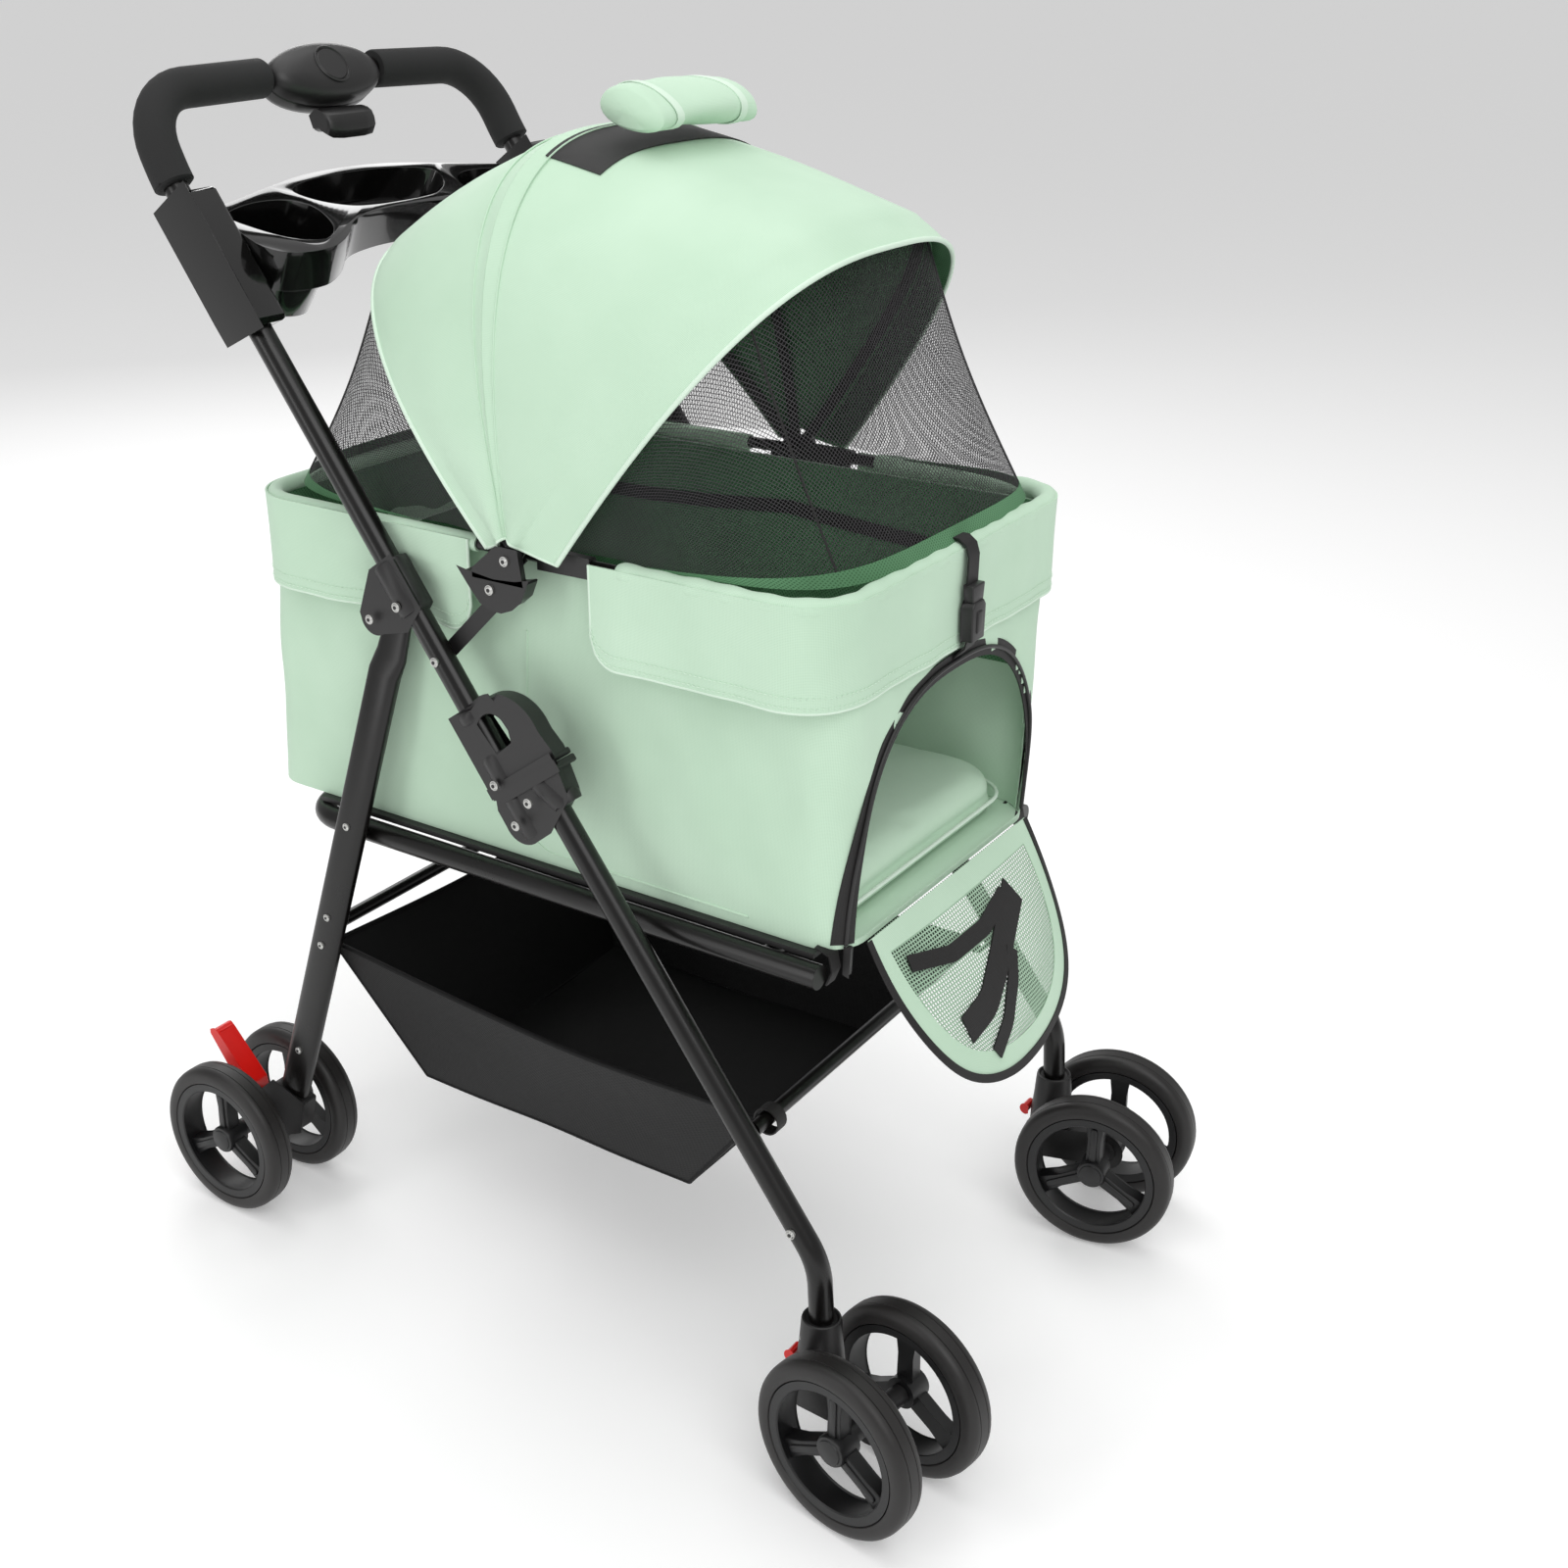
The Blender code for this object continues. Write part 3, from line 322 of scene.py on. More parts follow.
def hoop(name, profile, material, steps=72):
    """A profile of (x, radius) points swept about the X axis."""
    turns = [math.tau * i / steps for i in range(steps)]
    rings = [[(x, r * math.cos(a), r * math.sin(a)) for x, r in profile] for a in turns]
    return settle(loft(name, rings, material, closed=True))


def turned(name, profile, material, steps=32, place=None):
    """A solid of (along, radius) steps turned about the X axis, then put in place."""
    turns = [math.tau * i / steps for i in range(steps)]
    rings = [[(x, max(r, 1e-5) * math.cos(a), max(r, 1e-5) * math.sin(a)) for a in turns]
             for x, r in profile]
    made = loft(name, rings, material)
    if place:
        made.data.transform(place)
    return settle(made)


def block(name, outline, low, high, material, bevel=0.0015, holes=(), place=None, segments=3):
    """An outline of (y, z) points carried along X, holed, and rounded at its edges."""
    made = loft(name, [[(x, y, z) for y, z in outline] for x in sorted((low, high))], material)
    for hole in holes:
        step = made.modifiers.new(hole.name, "BOOLEAN")
        step.operation, step.solver, step.object = "DIFFERENCE", "EXACT", hole
    if bevel:
        step = made.modifiers.new("edges", "BEVEL")
        step.width, step.segments, step.limit_method = bevel, segments, "ANGLE"
        step.angle_limit = math.radians(28)
    settle(made, 50)
    for hole in holes:
        bpy.data.objects.remove(hole, do_unlink=True)
    if place:
        made.data.transform(place)
    return made


def wheel(name, body, centre, turn):
    """One wheel: its hub faces its own +X. turn is its heading about Z."""
    r, h = WHEEL, HALF_WIDE
    tread = [(-h + 0.0004, 0.0572), (-h, 0.0600), (-h + 0.0003, 0.0640), (-h + 0.0018, 0.0672),
             (-h + 0.0042, 0.0690), (-0.0060, 0.0697), (-0.0050, 0.0697), (-0.0046, 0.0690),
             (-0.0042, 0.0698), (0, WHEEL - 0.0001), (0.0042, 0.0698), (0.0046, 0.0690),
             (0.0050, 0.0697), (0.0060, 0.0697), (h - 0.0042, 0.0690), (h - 0.0018, 0.0672),
             (h - 0.0003, 0.0640), (h, 0.0600), (h - 0.0004, 0.0572), (h - 0.0018, 0.0562),
             (-h + 0.0018, 0.0562)]
    tyre = hoop("tread", tread, TYRE)
    parts = [hoop("well", [(-0.0100, 0.0500), (-0.0108, 0.0490), (-0.0118, 0.0495),
                           (-0.0120, 0.0559), (0.0120, 0.0559), (0.0118, 0.0495),
                           (0.0108, 0.0485), (0.0100, 0.0490), (0.0085, 0.0496),
                           (-0.0085, 0.0502)], RIM)]
    parts.append(turned("hub", [(-0.010, 0), (-0.010, 0.0125), (0.0085, 0.0125), (0.0100, 0.0118),
                                (0.0104, 0.0098), (0.0112, 0.0094), (0.0118, 0.0080), (0.0120, 0)],
                        RIM))
    for i in range(3):
        place = Matrix.Rotation(math.radians(120 * i), 4, "X")
        parts.append(block("spoke", [(-0.0062, 0.008), (0.0062, 0.008), (0.0058, 0.032),
                                     (0.0085, 0.0515), (-0.0085, 0.0515), (-0.0058, 0.032)],
                           -0.0055, 0.0062, RIM, 0.0012, place=place, segments=2))
        parts.append(block("spoke_rib", [(-0.0030, 0.012), (0.0030, 0.012), (0.0030, 0.043),
                                         (0.0018, 0.0452), (-0.0018, 0.0452), (-0.0030, 0.043)],
                           0.004, 0.0080, RIM, 0.0009, place=place, segments=2))
    rim = gather("rim", parts)
    place = Matrix.Translation(centre) @ Matrix.Rotation(turn, 4, "Z")
    for piece, kind, slot in ((rim, "wheel", "black_plastic"), (tyre, "tyre", "tyre")):
        piece.data.transform(place)
        piece.name = piece.data.name = f"{kind}_{name}_detail"
        fit(piece, body, f"{kind}_{name}", slot=slot)


CASTER_TURN = math.radians(8.5)
for side, way in SIDES.items():
    for end in ("front", "rear"):
        for place, out in (("inner", -1), ("outer", 1)):
            name = f"{end}_{side}_{place}"
            low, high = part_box(f"tyre_{name}")
            heading = way * CASTER_TURN if end == "front" else 0
            wheel(name, f"wheel_{name}", (low + high) / 2,
                  heading + (math.pi if way * out < 0 else 0))


# Casters and rear axles. Moulded black nylon: a fork that swivels in a socket riveted on the
# leg, with a red lock tab, and at the back a housing with a red brake pedal.
NYLON = moulded("moulded_nylon", "#151415", "#201F1F", 0.45, 0.0011, 0.00006)
RED = moulded("red_plastic", "#D9100C", "#F21D14", 0.32, 0.0020, 0.00003)


def arc(centre, radius, begin, end, steps):
    """Points of an arc, its angles in degrees."""
    turns = [math.radians(begin + (end - begin) * i / steps) for i in range(steps + 1)]
    return [(centre[0] + radius * math.cos(a), centre[1] + radius * math.sin(a)) for a in turns]


UPRIGHT = Matrix.Rotation(math.radians(-90), 4, "Y")
for side, way in SIDES.items():
    x = way * FRAME_X
    place = Matrix.Translation((x, STEM_Y, 0)) @ Matrix.Rotation(way * CASTER_TURN, 4, "Z")
    outline = (arc((-0.0515, 0.070), 0.016, 90, 300, 14)
               + [(0.012, 0.050), (0.017, 0.058), (0.017, 0.0800), (-0.019, 0.0800)])
    reach = 0.083 / 2 - 0.0105
    parts = [block("fork", outline, -0.011, 0.011, NYLON, 0.0022, place=place),
             turned("axle", [(-reach, 0), (-reach, 0.0078), (-0.0135, 0.0078), (-0.0125, 0.0115),
                             (0.0125, 0.0115), (0.0135, 0.0078), (reach, 0.0078), (reach, 0)],
                    NYLON, 20, place @ Matrix.Translation((0, -0.0515, 0.070)))]
    fit(gather(f"caster_fork_shell_{side}", parts), f"caster_{side}", f"caster_fork_{side}",
        slot="black_plastic")
    socket = turned("socket", [(0.0808, 0), (0.0808, 0.0180), (0.0822, 0.0188), (0.0900, 0.0186),
                               (0.1100, 0.0166), (0.1285, 0.0153), (0.1305, 0.0147),
                               (0.1310, 0.0135), (0.1290, 0.0120), (0.1285, 0)], NYLON, 32,
                    Matrix.Translation((x, STEM_Y, 0)) @ UPRIGHT)
    fit(socket, "front_legs", f"caster_socket_{side}", slot="black_plastic")
    low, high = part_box(f"caster_lock_{side}")
    mid = (low + high) / 2
    tab = arc((high.y - 0.0046, mid.z), 0.0044, -90, 90, 8) + [(low.y + 0.0002, mid.z + 0.003),
                                                               (low.y + 0.0002, mid.z - 0.0034)]
    fit(block(f"caster_lock_tab_{side}", tab, low.x, high.x, RED, 0.0012), f"lock_{side}",
        f"caster_lock_{side}", slot="red_plastic")

    axle, full = (0.3347, 0.070), way * LEG_X
    top = foot + down * 0.0004
    outline = arc(axle, 0.017, -110, 60, 10)
    outline += [tuple((top + wide * 0.018).yz), tuple((top - wide * 0.018).yz),
                (foot.y - 0.010, 0.078)]
    parts = [block("housing", outline, full - 0.0098, full + 0.0098, NYLON, 0.0025),
             turned("axle", [(-reach, 0), (-reach, 0.0078), (-0.0125, 0.0078), (-0.0118, 0.0125),
                             (0.0118, 0.0125), (0.0125, 0.0078), (reach, 0.0078), (reach, 0)],
                    NYLON, 20, Matrix.Translation((full, *axle)))]
    fit(gather(f"rear_housing_shell_{side}", parts), "rear_legs", f"rear_housing_{side}",
        slot="black_plastic")
    hinge = (0.3407, 0.100)
    pedal = [(-0.006, -0.004), (0.006, -0.006), (0.020, 0.014), (0.0425, 0.0445), (0.0425, 0.0475),
             (0.0385, 0.0495), (0.034, 0.046), (-0.004, 0.006)]
    parts = [block("pedal", [(hinge[0] + y, hinge[1] + z) for y, z in pedal], full - 0.0105,
                   full + 0.0105, RED, 0.0014)]
    for i in range(4):
        spot = Vector((full, hinge[0] + 0.017 + 0.006 * i, hinge[1] + 0.0225 + 0.008 * i))
        parts.append(pipe("pedal_rib", [spot - Vector((0.007, 0, 0)), spot + Vector((0.007, 0, 0))],
                          0.0009, RED, 8))
    fit(gather(f"brake_pedal_detail_{side}", parts), f"brake_{side}", f"brake_pedal_{side}",
        slot="red_plastic")


# Fold latches. Each is two nylon shells about the fold's axis: a riveted lower half on the front
# leg, and an upper half with a finger window that slides up the handle tube to free it.
def bulge(a, b, begin, end, x, radius):
    """A round channel in a shell, along the handle tube's direction."""
    return pipe("bulge", [(x, *latch_point(a, begin)), (x, *latch_point(a, begin + 0.002)),
                          (x, *latch_point(b, end - 0.002)), (x, *latch_point(b, end))],
                [radius - 0.0015, radius, radius, radius - 0.0015], NYLON, 28)


HINGE = (-0.003, 0.668)
for side, way in SIDES.items():
    x = way * FRAME_X
    outline = [(0.0560, 0.0265), (-0.0030, 0.0265), (-0.0115, 0.0235), (-0.0155, 0.016)]
    outline += arc((0, 0), 0.0158, 170, 280, 10) + [(0.019, -0.0148), (0.0505, 0.000)]
    parts = [block("lower_half", [latch_point(a, b) for a, b in outline], x - 0.0100, x + 0.0100,
                   NYLON, 0.0028),
             bulge(0.0, 0.0, -0.0140, 0.0262, x, 0.0124),
             bulge(0.0415, 0.0290, -0.0045, 0.0262, x, 0.0124),
             block("lip", [latch_point(a, b) for a, b in
                           ((0.0596, 0.0205), (0.0596, 0.0266), (-0.0030, 0.0266),
                            (-0.0100, 0.0240), (-0.0060, 0.0205))], x - 0.0124, x + 0.0124, NYLON, 0.0018)]
    fit(gather(f"latch_lower_shell_{side}", parts), "front_legs", f"latch_lower_{side}",
        slot="black_plastic")

    outline = [(-0.0142, 0.0272), (0.0580, 0.0272), (0.0585, 0.036), (0.0560, 0.050)]
    outline += arc((0.0200, 0.0580), 0.0362, 2, 84, 12) + [(0.008, 0.0945), (-0.0142, 0.0925)]
    window = [(0.0100, 0.0530), (0.0290, 0.0550), (0.0325, 0.0640)]
    window += arc((0.0175, 0.0690), 0.0145, 0, 120, 8) + [(0.0070, 0.0800)]
    hole = loft("window", [[(x + k * 0.05, *latch_point(a, b)) for a, b in window]
                           for k in (-1, 1)], NYLON)
    shell = block("upper_half", [latch_point(a, b) for a, b in outline], x - 0.0098, x + 0.0098,
                  NYLON, 0.0030, [hole])
    collar = pipe("collar", [(x, *latch_point(0, s)) for s in (0.0272, 0.0290, 0.0520, 0.0550)],
                  [0.0115, 0.0126, 0.0126, 0.0112], NYLON, 28)
    ring = pipe("ring", [(x, *latch_point(0, s)) for s in (0.0830, 0.0850, 0.0900, 0.0925)],
                [0.0112, 0.0124, 0.0124, 0.0108], NYLON, 28)
    skirt_edge = block("skirt", [latch_point(a, b) for a, b in
                                 ((-0.0142, 0.0272), (0.0585, 0.0272), (0.0585, 0.0325),
                                  (-0.0142, 0.0325))],
                       x - 0.0122, x + 0.0122, NYLON, 0.0018)
    fit(gather(f"latch_upper_shell_{side}", [shell, collar, ring, skirt_edge]), f"latch_{side}",
        f"latch_slider_{side}", slot="black_plastic")

    # The bracket that the rear leg hangs from, clamped round the handle tube
    along, across = (sum((LEG_PIVOT[i] - FOLD[i]) * way_of[i] for i in (0, 1))
                     for way_of in (ALONG, ACROSS))
    outline = [(0.0122, along - 0.0138), (0.0122, along + 0.0298), (-0.0132, along + 0.0298),
               (across - 0.0098, along + 0.009)]
    outline += arc((across, along), 0.0123, 150, 270, 10) + [(-0.010, along - 0.0218)]
    parts = [block("plate", [latch_point(a, b) for a, b in outline], way * 0.1905, way * 0.2095,
                   NYLON, 0.0022),
             bulge(0.0, 0.0, along - 0.0138, along + 0.0298, x, 0.0134)]
    fit(gather(f"leg_bracket_shell_{side}", parts), "handle", f"leg_bracket_{side}",
        slot="black_plastic")

    # The canopy's hinge: a plate with a boat-shaped foot, and its arm down inside the skirt
    y, z = HINGE
    inner = 0.1876
    low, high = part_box(f"canopy_hinge_{side}")
    outer = max(abs(low.x), abs(high.x)) - 0.0002
    plate = [(y - 0.0138, z - 0.0138), (y + 0.0298, z - 0.0138), (y + 0.0298, z - 0.0092),
             (y + 0.008, z + 0.0098), (y - 0.0098, z + 0.0098)]
    boat = [(y + 0.042, z - 0.012), (y + 0.034, z - 0.022), (y + 0.024, z - 0.033),
            (y + 0.015, z - 0.0365), (y + 0.006, z - 0.0370), (y - 0.004, z - 0.0330),
            (y - 0.012, z - 0.026), (y - 0.018, z - 0.012), (y - 0.008, z - 0.0145),
            (y + 0.012, z - 0.0160), (y + 0.030, z - 0.0140)]
    parts = [block("plate", plate, way * 0.1962, way * outer, NYLON, 0.0018),
             block("boat", boat, way * inner, way * outer, NYLON, 0.0020)]
    arm_foot = Vector(latch_point(0, 0.140))
    head = Vector((y + 0.012, z - 0.026))
    run = (arm_foot - head).normalized()
    wide_arm = Vector((-run.y, run.x)) * 0.0058
    tip = arm_foot + run * 0.006
    parts.append(block("arm", [tuple(p) for p in (head + wide_arm, tip + wide_arm, tip - wide_arm,
                                                  head - wide_arm)],
                       way * inner, way * (inner + 0.0022), NYLON, 0.0005))
    fit(gather(f"canopy_hinge_detail_{side}", parts), "handle", f"canopy_hinge_{side}",
        slot="black_plastic")


# Handle. Closed-cell foam sleeves pushed over the bent tube from both sides of a nylon console,
# which has a round button on its face and the fold trigger under it.
FOAM = moulded("closed_cell_foam", "#181819", "#242424", 0.88, 0.0010, 0.00035, spread=0.06)
CONSOLE = moulded("console_plastic", "#131213", "#1B1A1A", 0.38, 0.0011, 0.00005)


def clip(path, start_z, end_x):
    """The stretch of a path from height start_z on to the distance end_x from the middle."""
    run = []
    for one, two in zip(path, path[1:]):
        if not run and one.z < start_z <= two.z:
            run.append(one.lerp(two, (start_z - one.z) / (two.z - one.z)))
        if run and abs(two.x) <= end_x:
            return run + [one.lerp(two, (abs(one.x) - end_x) / (abs(one.x) - abs(two.x)))]
        if run:
            run.append(two)
    return run


for side, way in SIDES.items():
    run = clip(handle_path if way < 0 else handle_path[::-1], 0.9097, 0.0645)
    begin, end = (run[1] - run[0]).normalized(), (run[-2] - run[-1]).normalized()
    run = ([run[0], run[0] + begin * 0.0012, run[0] + begin * 0.0035] + run[1:-1]
           + [run[-1] + end * 0.002, run[-1]])
    sizes = [0.0135, 0.0152, 0.0159] + [0.0159] * (len(run) - 5) + [0.0159, 0.0148]
    fit(pipe(f"foam_sleeve_{side}", run, sizes, FOAM, 32), "handle", f"foam_grip_{side}",
        slot="foam")

middle = min(handle_path, key=lambda p: abs(p.x))
face = Vector((0, -math.sin(TILT), math.cos(TILT)))
slope = Vector((0, -math.cos(TILT), -math.sin(TILT)))
heart = middle + slope * 0.006
rings = []
for out, grow in ((-0.0168, 0.60), (-0.0160, 0.80), (-0.0130, 0.93), (-0.0085, 0.985),
                  (-0.0020, 0.985), (-0.0012, 0.965), (-0.0002, 0.965), (0.0006, 0.990),
                  (0.0070, 0.985),
                  (0.0120, 0.945), (0.0155, 0.86), (0.0178, 0.72), (0.0190, 0.50), (0.0194, 0.25)):
    rings.append([heart + face * out + Vector((0.062 * math.cos(a), 0, 0)) * grow
                  + slope * (0.027 * math.copysign(abs(math.sin(a)) ** 0.92, math.sin(a))) * grow
                  for a in [math.tau * i / 48 for i in range(48)]])
stand = (Matrix.Translation(heart + slope * -0.001)
         @ face.to_track_quat("X", "Z").to_matrix().to_4x4())
parts = [settle(loft("shell", rings, CONSOLE)),
         turned("button_ring", [(0.0165, 0.0172), (0.0198, 0.0172), (0.0203, 0.0166),
                                (0.0203, 0.0158),
                                (0.0192, 0.0152), (0.0190, 0.0148), (0.0199, 0.0138), (0.0200, 0)],
                CONSOLE, 40, stand)]
fit(gather("console_shell", parts), "handle", "console", slot="black_plastic")
hinge = heart + slope * 0.0290 - face * 0.002
lever = [(0.0006, -0.006), (0.0006, 0.006), (0.006, 0.0110), (0.012, 0.0138), (0.019, 0.0128),
         (0.025, 0.0098), (0.0285, 0.003), (0.023, -0.0005), (0.018, -0.002), (0.014, -0.0095)]
rings = []
for x, grow in ((-0.0278, 0.72), (-0.0268, 0.84), (-0.0230, 0.95), (-0.012, 1.0), (0.012, 1.0),
                (0.0230, 0.95), (0.0268, 0.84), (0.0278, 0.72)):
    rings.append([hinge + Vector((x, 0, 0)) + slope * (0.0006 + (s - 0.0006) * grow)
                  + face * f * grow
                  for s, f in lever])
lever_piece = loft("fold_trigger_lever", rings, CONSOLE)
step = lever_piece.modifiers.new("edges", "BEVEL")
step.width, step.segments = 0.0010, 2
fit(settle(lever_piece, 50), "trigger", "fold_trigger", slot="black_plastic")


# Tray. Glossy moulded ABS clamped across the handle tubes: two deep rounded-triangle cup wells
# with an open compartment between them, and a block with a screw round each tube.
GLOSS = moulded("glossy_abs", "#060606", "#0C0B0B", 0.10, 0.0040, 0.00001, spread=0.03,
                Coat_Weight=0.4, Coat_Roughness=0.04)
tray_place = Matrix.Translation((0, 0.286, 0.887)) @ Matrix.Rotation(math.radians(21), 4, "X")


def smooth_ring(points, steps=5):
    """A closed smooth curve through (x, y) points."""
    run, count = [], len(points)
    for i in range(count):
        a, b, c, d = (Vector((*points[(i + k) % count], 0)) for k in (-1, 0, 1, 2))
        for k in range(steps):
            t = k / steps
            p = 0.5 * (2 * b + (c - a) * t + (2 * a - 5 * b + 4 * c - d) * t * t
                       + (3 * b - a - 3 * c + d) * t ** 3)
            run.append((p.x, p.y))
    return run


def shell(name, levels, material=GLOSS):
    """A closed solid through outlines at heights in the tray's own frame."""
    made = loft(name, [[(x, y, z) for x, y in ring] for z, ring in levels], material)
    made.data.transform(tray_place)
    return settle(made)


def shrink(ring, share):
    """A ring drawn in towards its middle."""
    mx, my = (sum(p[k] for p in ring) / len(ring) for k in (0, 1))
    return [(mx + (x - mx) * share, my + (y - my) * share) for x, y in ring]


edge = [(0, 0.0478), (0.050, 0.0448), (0.100, 0.0335), (0.150, 0.020), (0.184, 0.0105),
        (0.1842, -0.020), (0.1838, -0.050), (0.165, -0.0655), (0.128, -0.0672), (0.098, -0.0545),
        (0.070, -0.0345), (0.035, -0.0262)]
edge = edge + [(0, -0.0242)] + [(-x, y) for x, y in reversed(edge[1:])]
edge = smooth_ring(edge, 4)
deck = shell("deck", [(-0.034, shrink(edge, 0.975)), (-0.006, shrink(edge, 0.997)), (0, edge)])
cup = [(0.174, 0.0015), (0.139, 0.0130), (0.105, 0.0105), (0.0885, -0.0075), (0.098, -0.0380),
       (0.120, -0.0535), (0.148, -0.0460), (0.168, -0.0220)]
cutters, bodies = [], []
for way in (-1, 1):
    ring = smooth_ring([(way * x, y) for x, y in cup], 6)
    bodies.append(shell("cup_body", [(-0.0715, shrink(ring, 0.74)), (-0.0690, shrink(ring, 0.82)),
                                     (-0.030, shrink(ring, 1.02)), (-0.004, shrink(ring, 1.08))]))
    cutters.append(shell("cup_well", [(-0.0675, shrink(ring, 0.66)), (-0.0640, shrink(ring, 0.74)),
                                      (-0.030, shrink(ring, 0.93)), (0.020, shrink(ring, 1.04))]))
pocket = [(0, 0.0395), (0.045, 0.0370), (0.078, 0.0285), (0.0855, 0.0180), (0.074, 0.0000),
          (0.052, -0.0135), (0.026, -0.0175)]
pocket = smooth_ring(pocket + [(0, -0.0180)] + [(-x, y) for x, y in reversed(pocket[1:])], 5)
cutters.append(shell("pocket", [(-0.0295, shrink(pocket, 0.90)), (-0.0270, shrink(pocket, 0.94)),
                                (0.020, shrink(pocket, 1.03))]))
clamps = []
for way in (-1, 1):
    x = way * FRAME_X
    outline = [latch_point(a, b) for a, b in ((-0.0195, 0.4250), (0.0178, 0.4185), (0.0188, 0.5345),
                                              (-0.0188, 0.5345), (-0.0198, 0.4400))]
    clamps.append(block("clamp", outline, x - 0.0163, x + 0.0163, GLOSS, 0.0042))
    cutters.append(pipe("bore", [(x, *latch_point(0, 0.30)), (x, *latch_point(0, 0.62))],
                        TUBE + 0.0004, GLOSS))
for kind, others in (("UNION", bodies + clamps), ("DIFFERENCE", cutters)):
    for other in others:
        step = deck.modifiers.new(other.name, "BOOLEAN")
        step.operation, step.solver, step.object = kind, "EXACT", other
step = deck.modifiers.new("edges", "BEVEL")
step.width, step.segments, step.limit_method = 0.0013, 3, "ANGLE"
step.angle_limit = math.radians(40)
settle(deck, 45)
for other in bodies + clamps + cutters:
    bpy.data.objects.remove(other, do_unlink=True)
deck.name = deck.data.name = "tray_moulding"
fit(deck, "handle", "tray", slot="gloss_plastic")


# Cabin. A sewn polyester tub hung from the rim and tied to the lower tubes: pale green outside,
# dark green air mesh inside above a pale lower wall. Its whole front unzips as a doorway.
WAVE_REPEAT = 0.314     # metres between the waves of a wave texture whose scale is 1


def woven(name, dark, light, thread, relief, roughness, holes=0.0, slant=0.0, **sockets):
    """Cloth of crossed threads on the piece's own UV map, which is in metres. thread is the
    spacing; the real one is finer, and this is as coarse as it takes to show. holes is the
    share of a thread's spacing that is open, as in net."""
    made, tree, shader = blank(name, roughness, **sockets)
    own = add(tree, "ShaderNodeUVMap", uv_map="cloth").outputs[0]
    laid = add(tree, "ShaderNodeMapping", {0: own, "Rotation": (0, 0, math.radians(slant))})
    place = add(tree, "ShaderNodeTexCoord").outputs["Object"]
    scale = WAVE_REPEAT / thread
    warp, weft = (add(tree, "ShaderNodeTexWave", {0: laid.outputs[0], "Scale": scale},
                      bands_direction=way, wave_profile="SIN").outputs["Fac"] for way in "XY")
    cross = add(tree, "ShaderNodeMath", {0: warp, 1: weft}, operation="MAXIMUM")
    broad = add(tree, "ShaderNodeTexNoise", {"Vector": place, "Scale": 9.0, "Detail": 3.0})
    fold = add(tree, "ShaderNodeTexNoise", {"Vector": place, "Scale": 26.0, "Detail": 2.5,
                                            "Distortion": 0.6})
    # Painted shade: the colour goes from dark to light with the threads' height, so the hollows between
    # threads are darker; the broad noise it is multiplied by is a random drift of tone.
    share = add(tree, "ShaderNodeMath", {0: cross.outputs[0], 1: broad.outputs[0]},
                operation="MULTIPLY")
    tint = add(tree, "ShaderNodeMix", {0: share.outputs[0], 6: linear(dark), 7: linear(light)},
               data_type="RGBA")
    soft = add(tree, "ShaderNodeBump", {"Height": fold.outputs[0], "Distance": 0.0016,
                                        "Strength": 0.45})
    fine = add(tree, "ShaderNodeBump", {"Height": cross.outputs[0], "Distance": relief,
                                        "Strength": 0.5, "Normal": soft.outputs[0]})
    tree.links.new(tint.outputs[2], shader.inputs["Base Color"])
    tree.links.new(fine.outputs[0], shader.inputs["Normal"])
    if holes:
        solid = add(tree, "ShaderNodeMath", {0: cross.outputs[0], 1: holes},
                    operation="GREATER_THAN")
        tree.links.new(solid.outputs[0], shader.inputs["Alpha"])
    return made


# Its two greens are the cloth's shaded and lit tones: mixed by the weave they are painted shade between
# threads, mixed by the broad noise a random drift of tone.
MINT = woven("pale_green_polyester", "#B4D2B8", "#D3ECD6", 0.0011, 0.00010, 0.80,
             Sheen_Weight=0.12, Sheen_Roughness=0.5)
BINDING = woven("pale_green_binding", "#C9E0CC", "#E4F4E6", 0.0009, 0.00008, 0.75)
LINING = woven("dark_green_air_mesh", "#28542F", "#78AE83", 0.0024, 0.00025, 0.80, slant=38)
WEBBING = woven("black_webbing", "#0C0B0B", "#1F1D1D", 0.0014, 0.00018, 0.62)
NET = woven("black_net", "#242224", "#454246", 0.0026, 0.0001, 0.70, holes=0.93, slant=34)
CABIN_LOW, CABIN_HEM, CABIN_TOP, RIM_Z = 0.4052, 0.6637, 0.6645, 0.670
FRONT_Y, REAR_Y, WALL_TURN, STRETCH = -0.2595, 0.2775, 0.030, 0.036
RIM_X, RIM_TURN = 0.181, 0.042
RIM_SHAPE = (RIM_X, FRONT_Y, REAR_Y, RIM_TURN)
FLOOR_X, SPREAD = 0.152, 0.018      # the walls stand this far out, and lean out this much more


def around(share, half_x, front, rear, turn):
    """A point of a rounded rectangle and its outward direction. share runs from 0 at the rear's
    middle over the right side and the front back to 1."""
    flat, side, bend = half_x - turn, rear - front - 2 * turn, math.pi / 2 * turn
    runs = [flat, bend, side, bend, 2 * flat, bend, side, bend, flat]
    left = (share % 1.0) * sum(runs)
    for place, run in enumerate(runs):
        if left <= run or place == 8:
            break
        left -= run
    if place % 2:
        angle = math.radians((90, 180, 270, 0)[place // 2]) + left / turn
        cx, cy = ((-flat, rear - turn), (-flat, front + turn), (flat, front + turn),
                  (flat, rear - turn))[place // 2]
        out = Vector((math.cos(angle), math.sin(angle), 0))
        return Vector((cx, cy, 0)) + out * turn, out
    point = {0: (-left, rear), 2: (-half_x, rear - turn - left), 4: (-flat + left, front),
             6: (half_x, front + turn + left), 8: (flat - left, rear)}[place]
    out = {0: (0, 1), 2: (-1, 0), 4: (0, -1), 6: (1, 0), 8: (0, 1)}[place]
    return Vector((*point, 0)), Vector((*out, 0))


def share_at(y, half_x, front, rear, turn):
    """The share at which the right side reaches y."""
    whole = 4 * (half_x - turn) + 2 * (rear - front - 2 * turn) + math.tau * turn
    return ((half_x - turn) + math.pi / 2 * turn + (rear - turn - y)) / whole


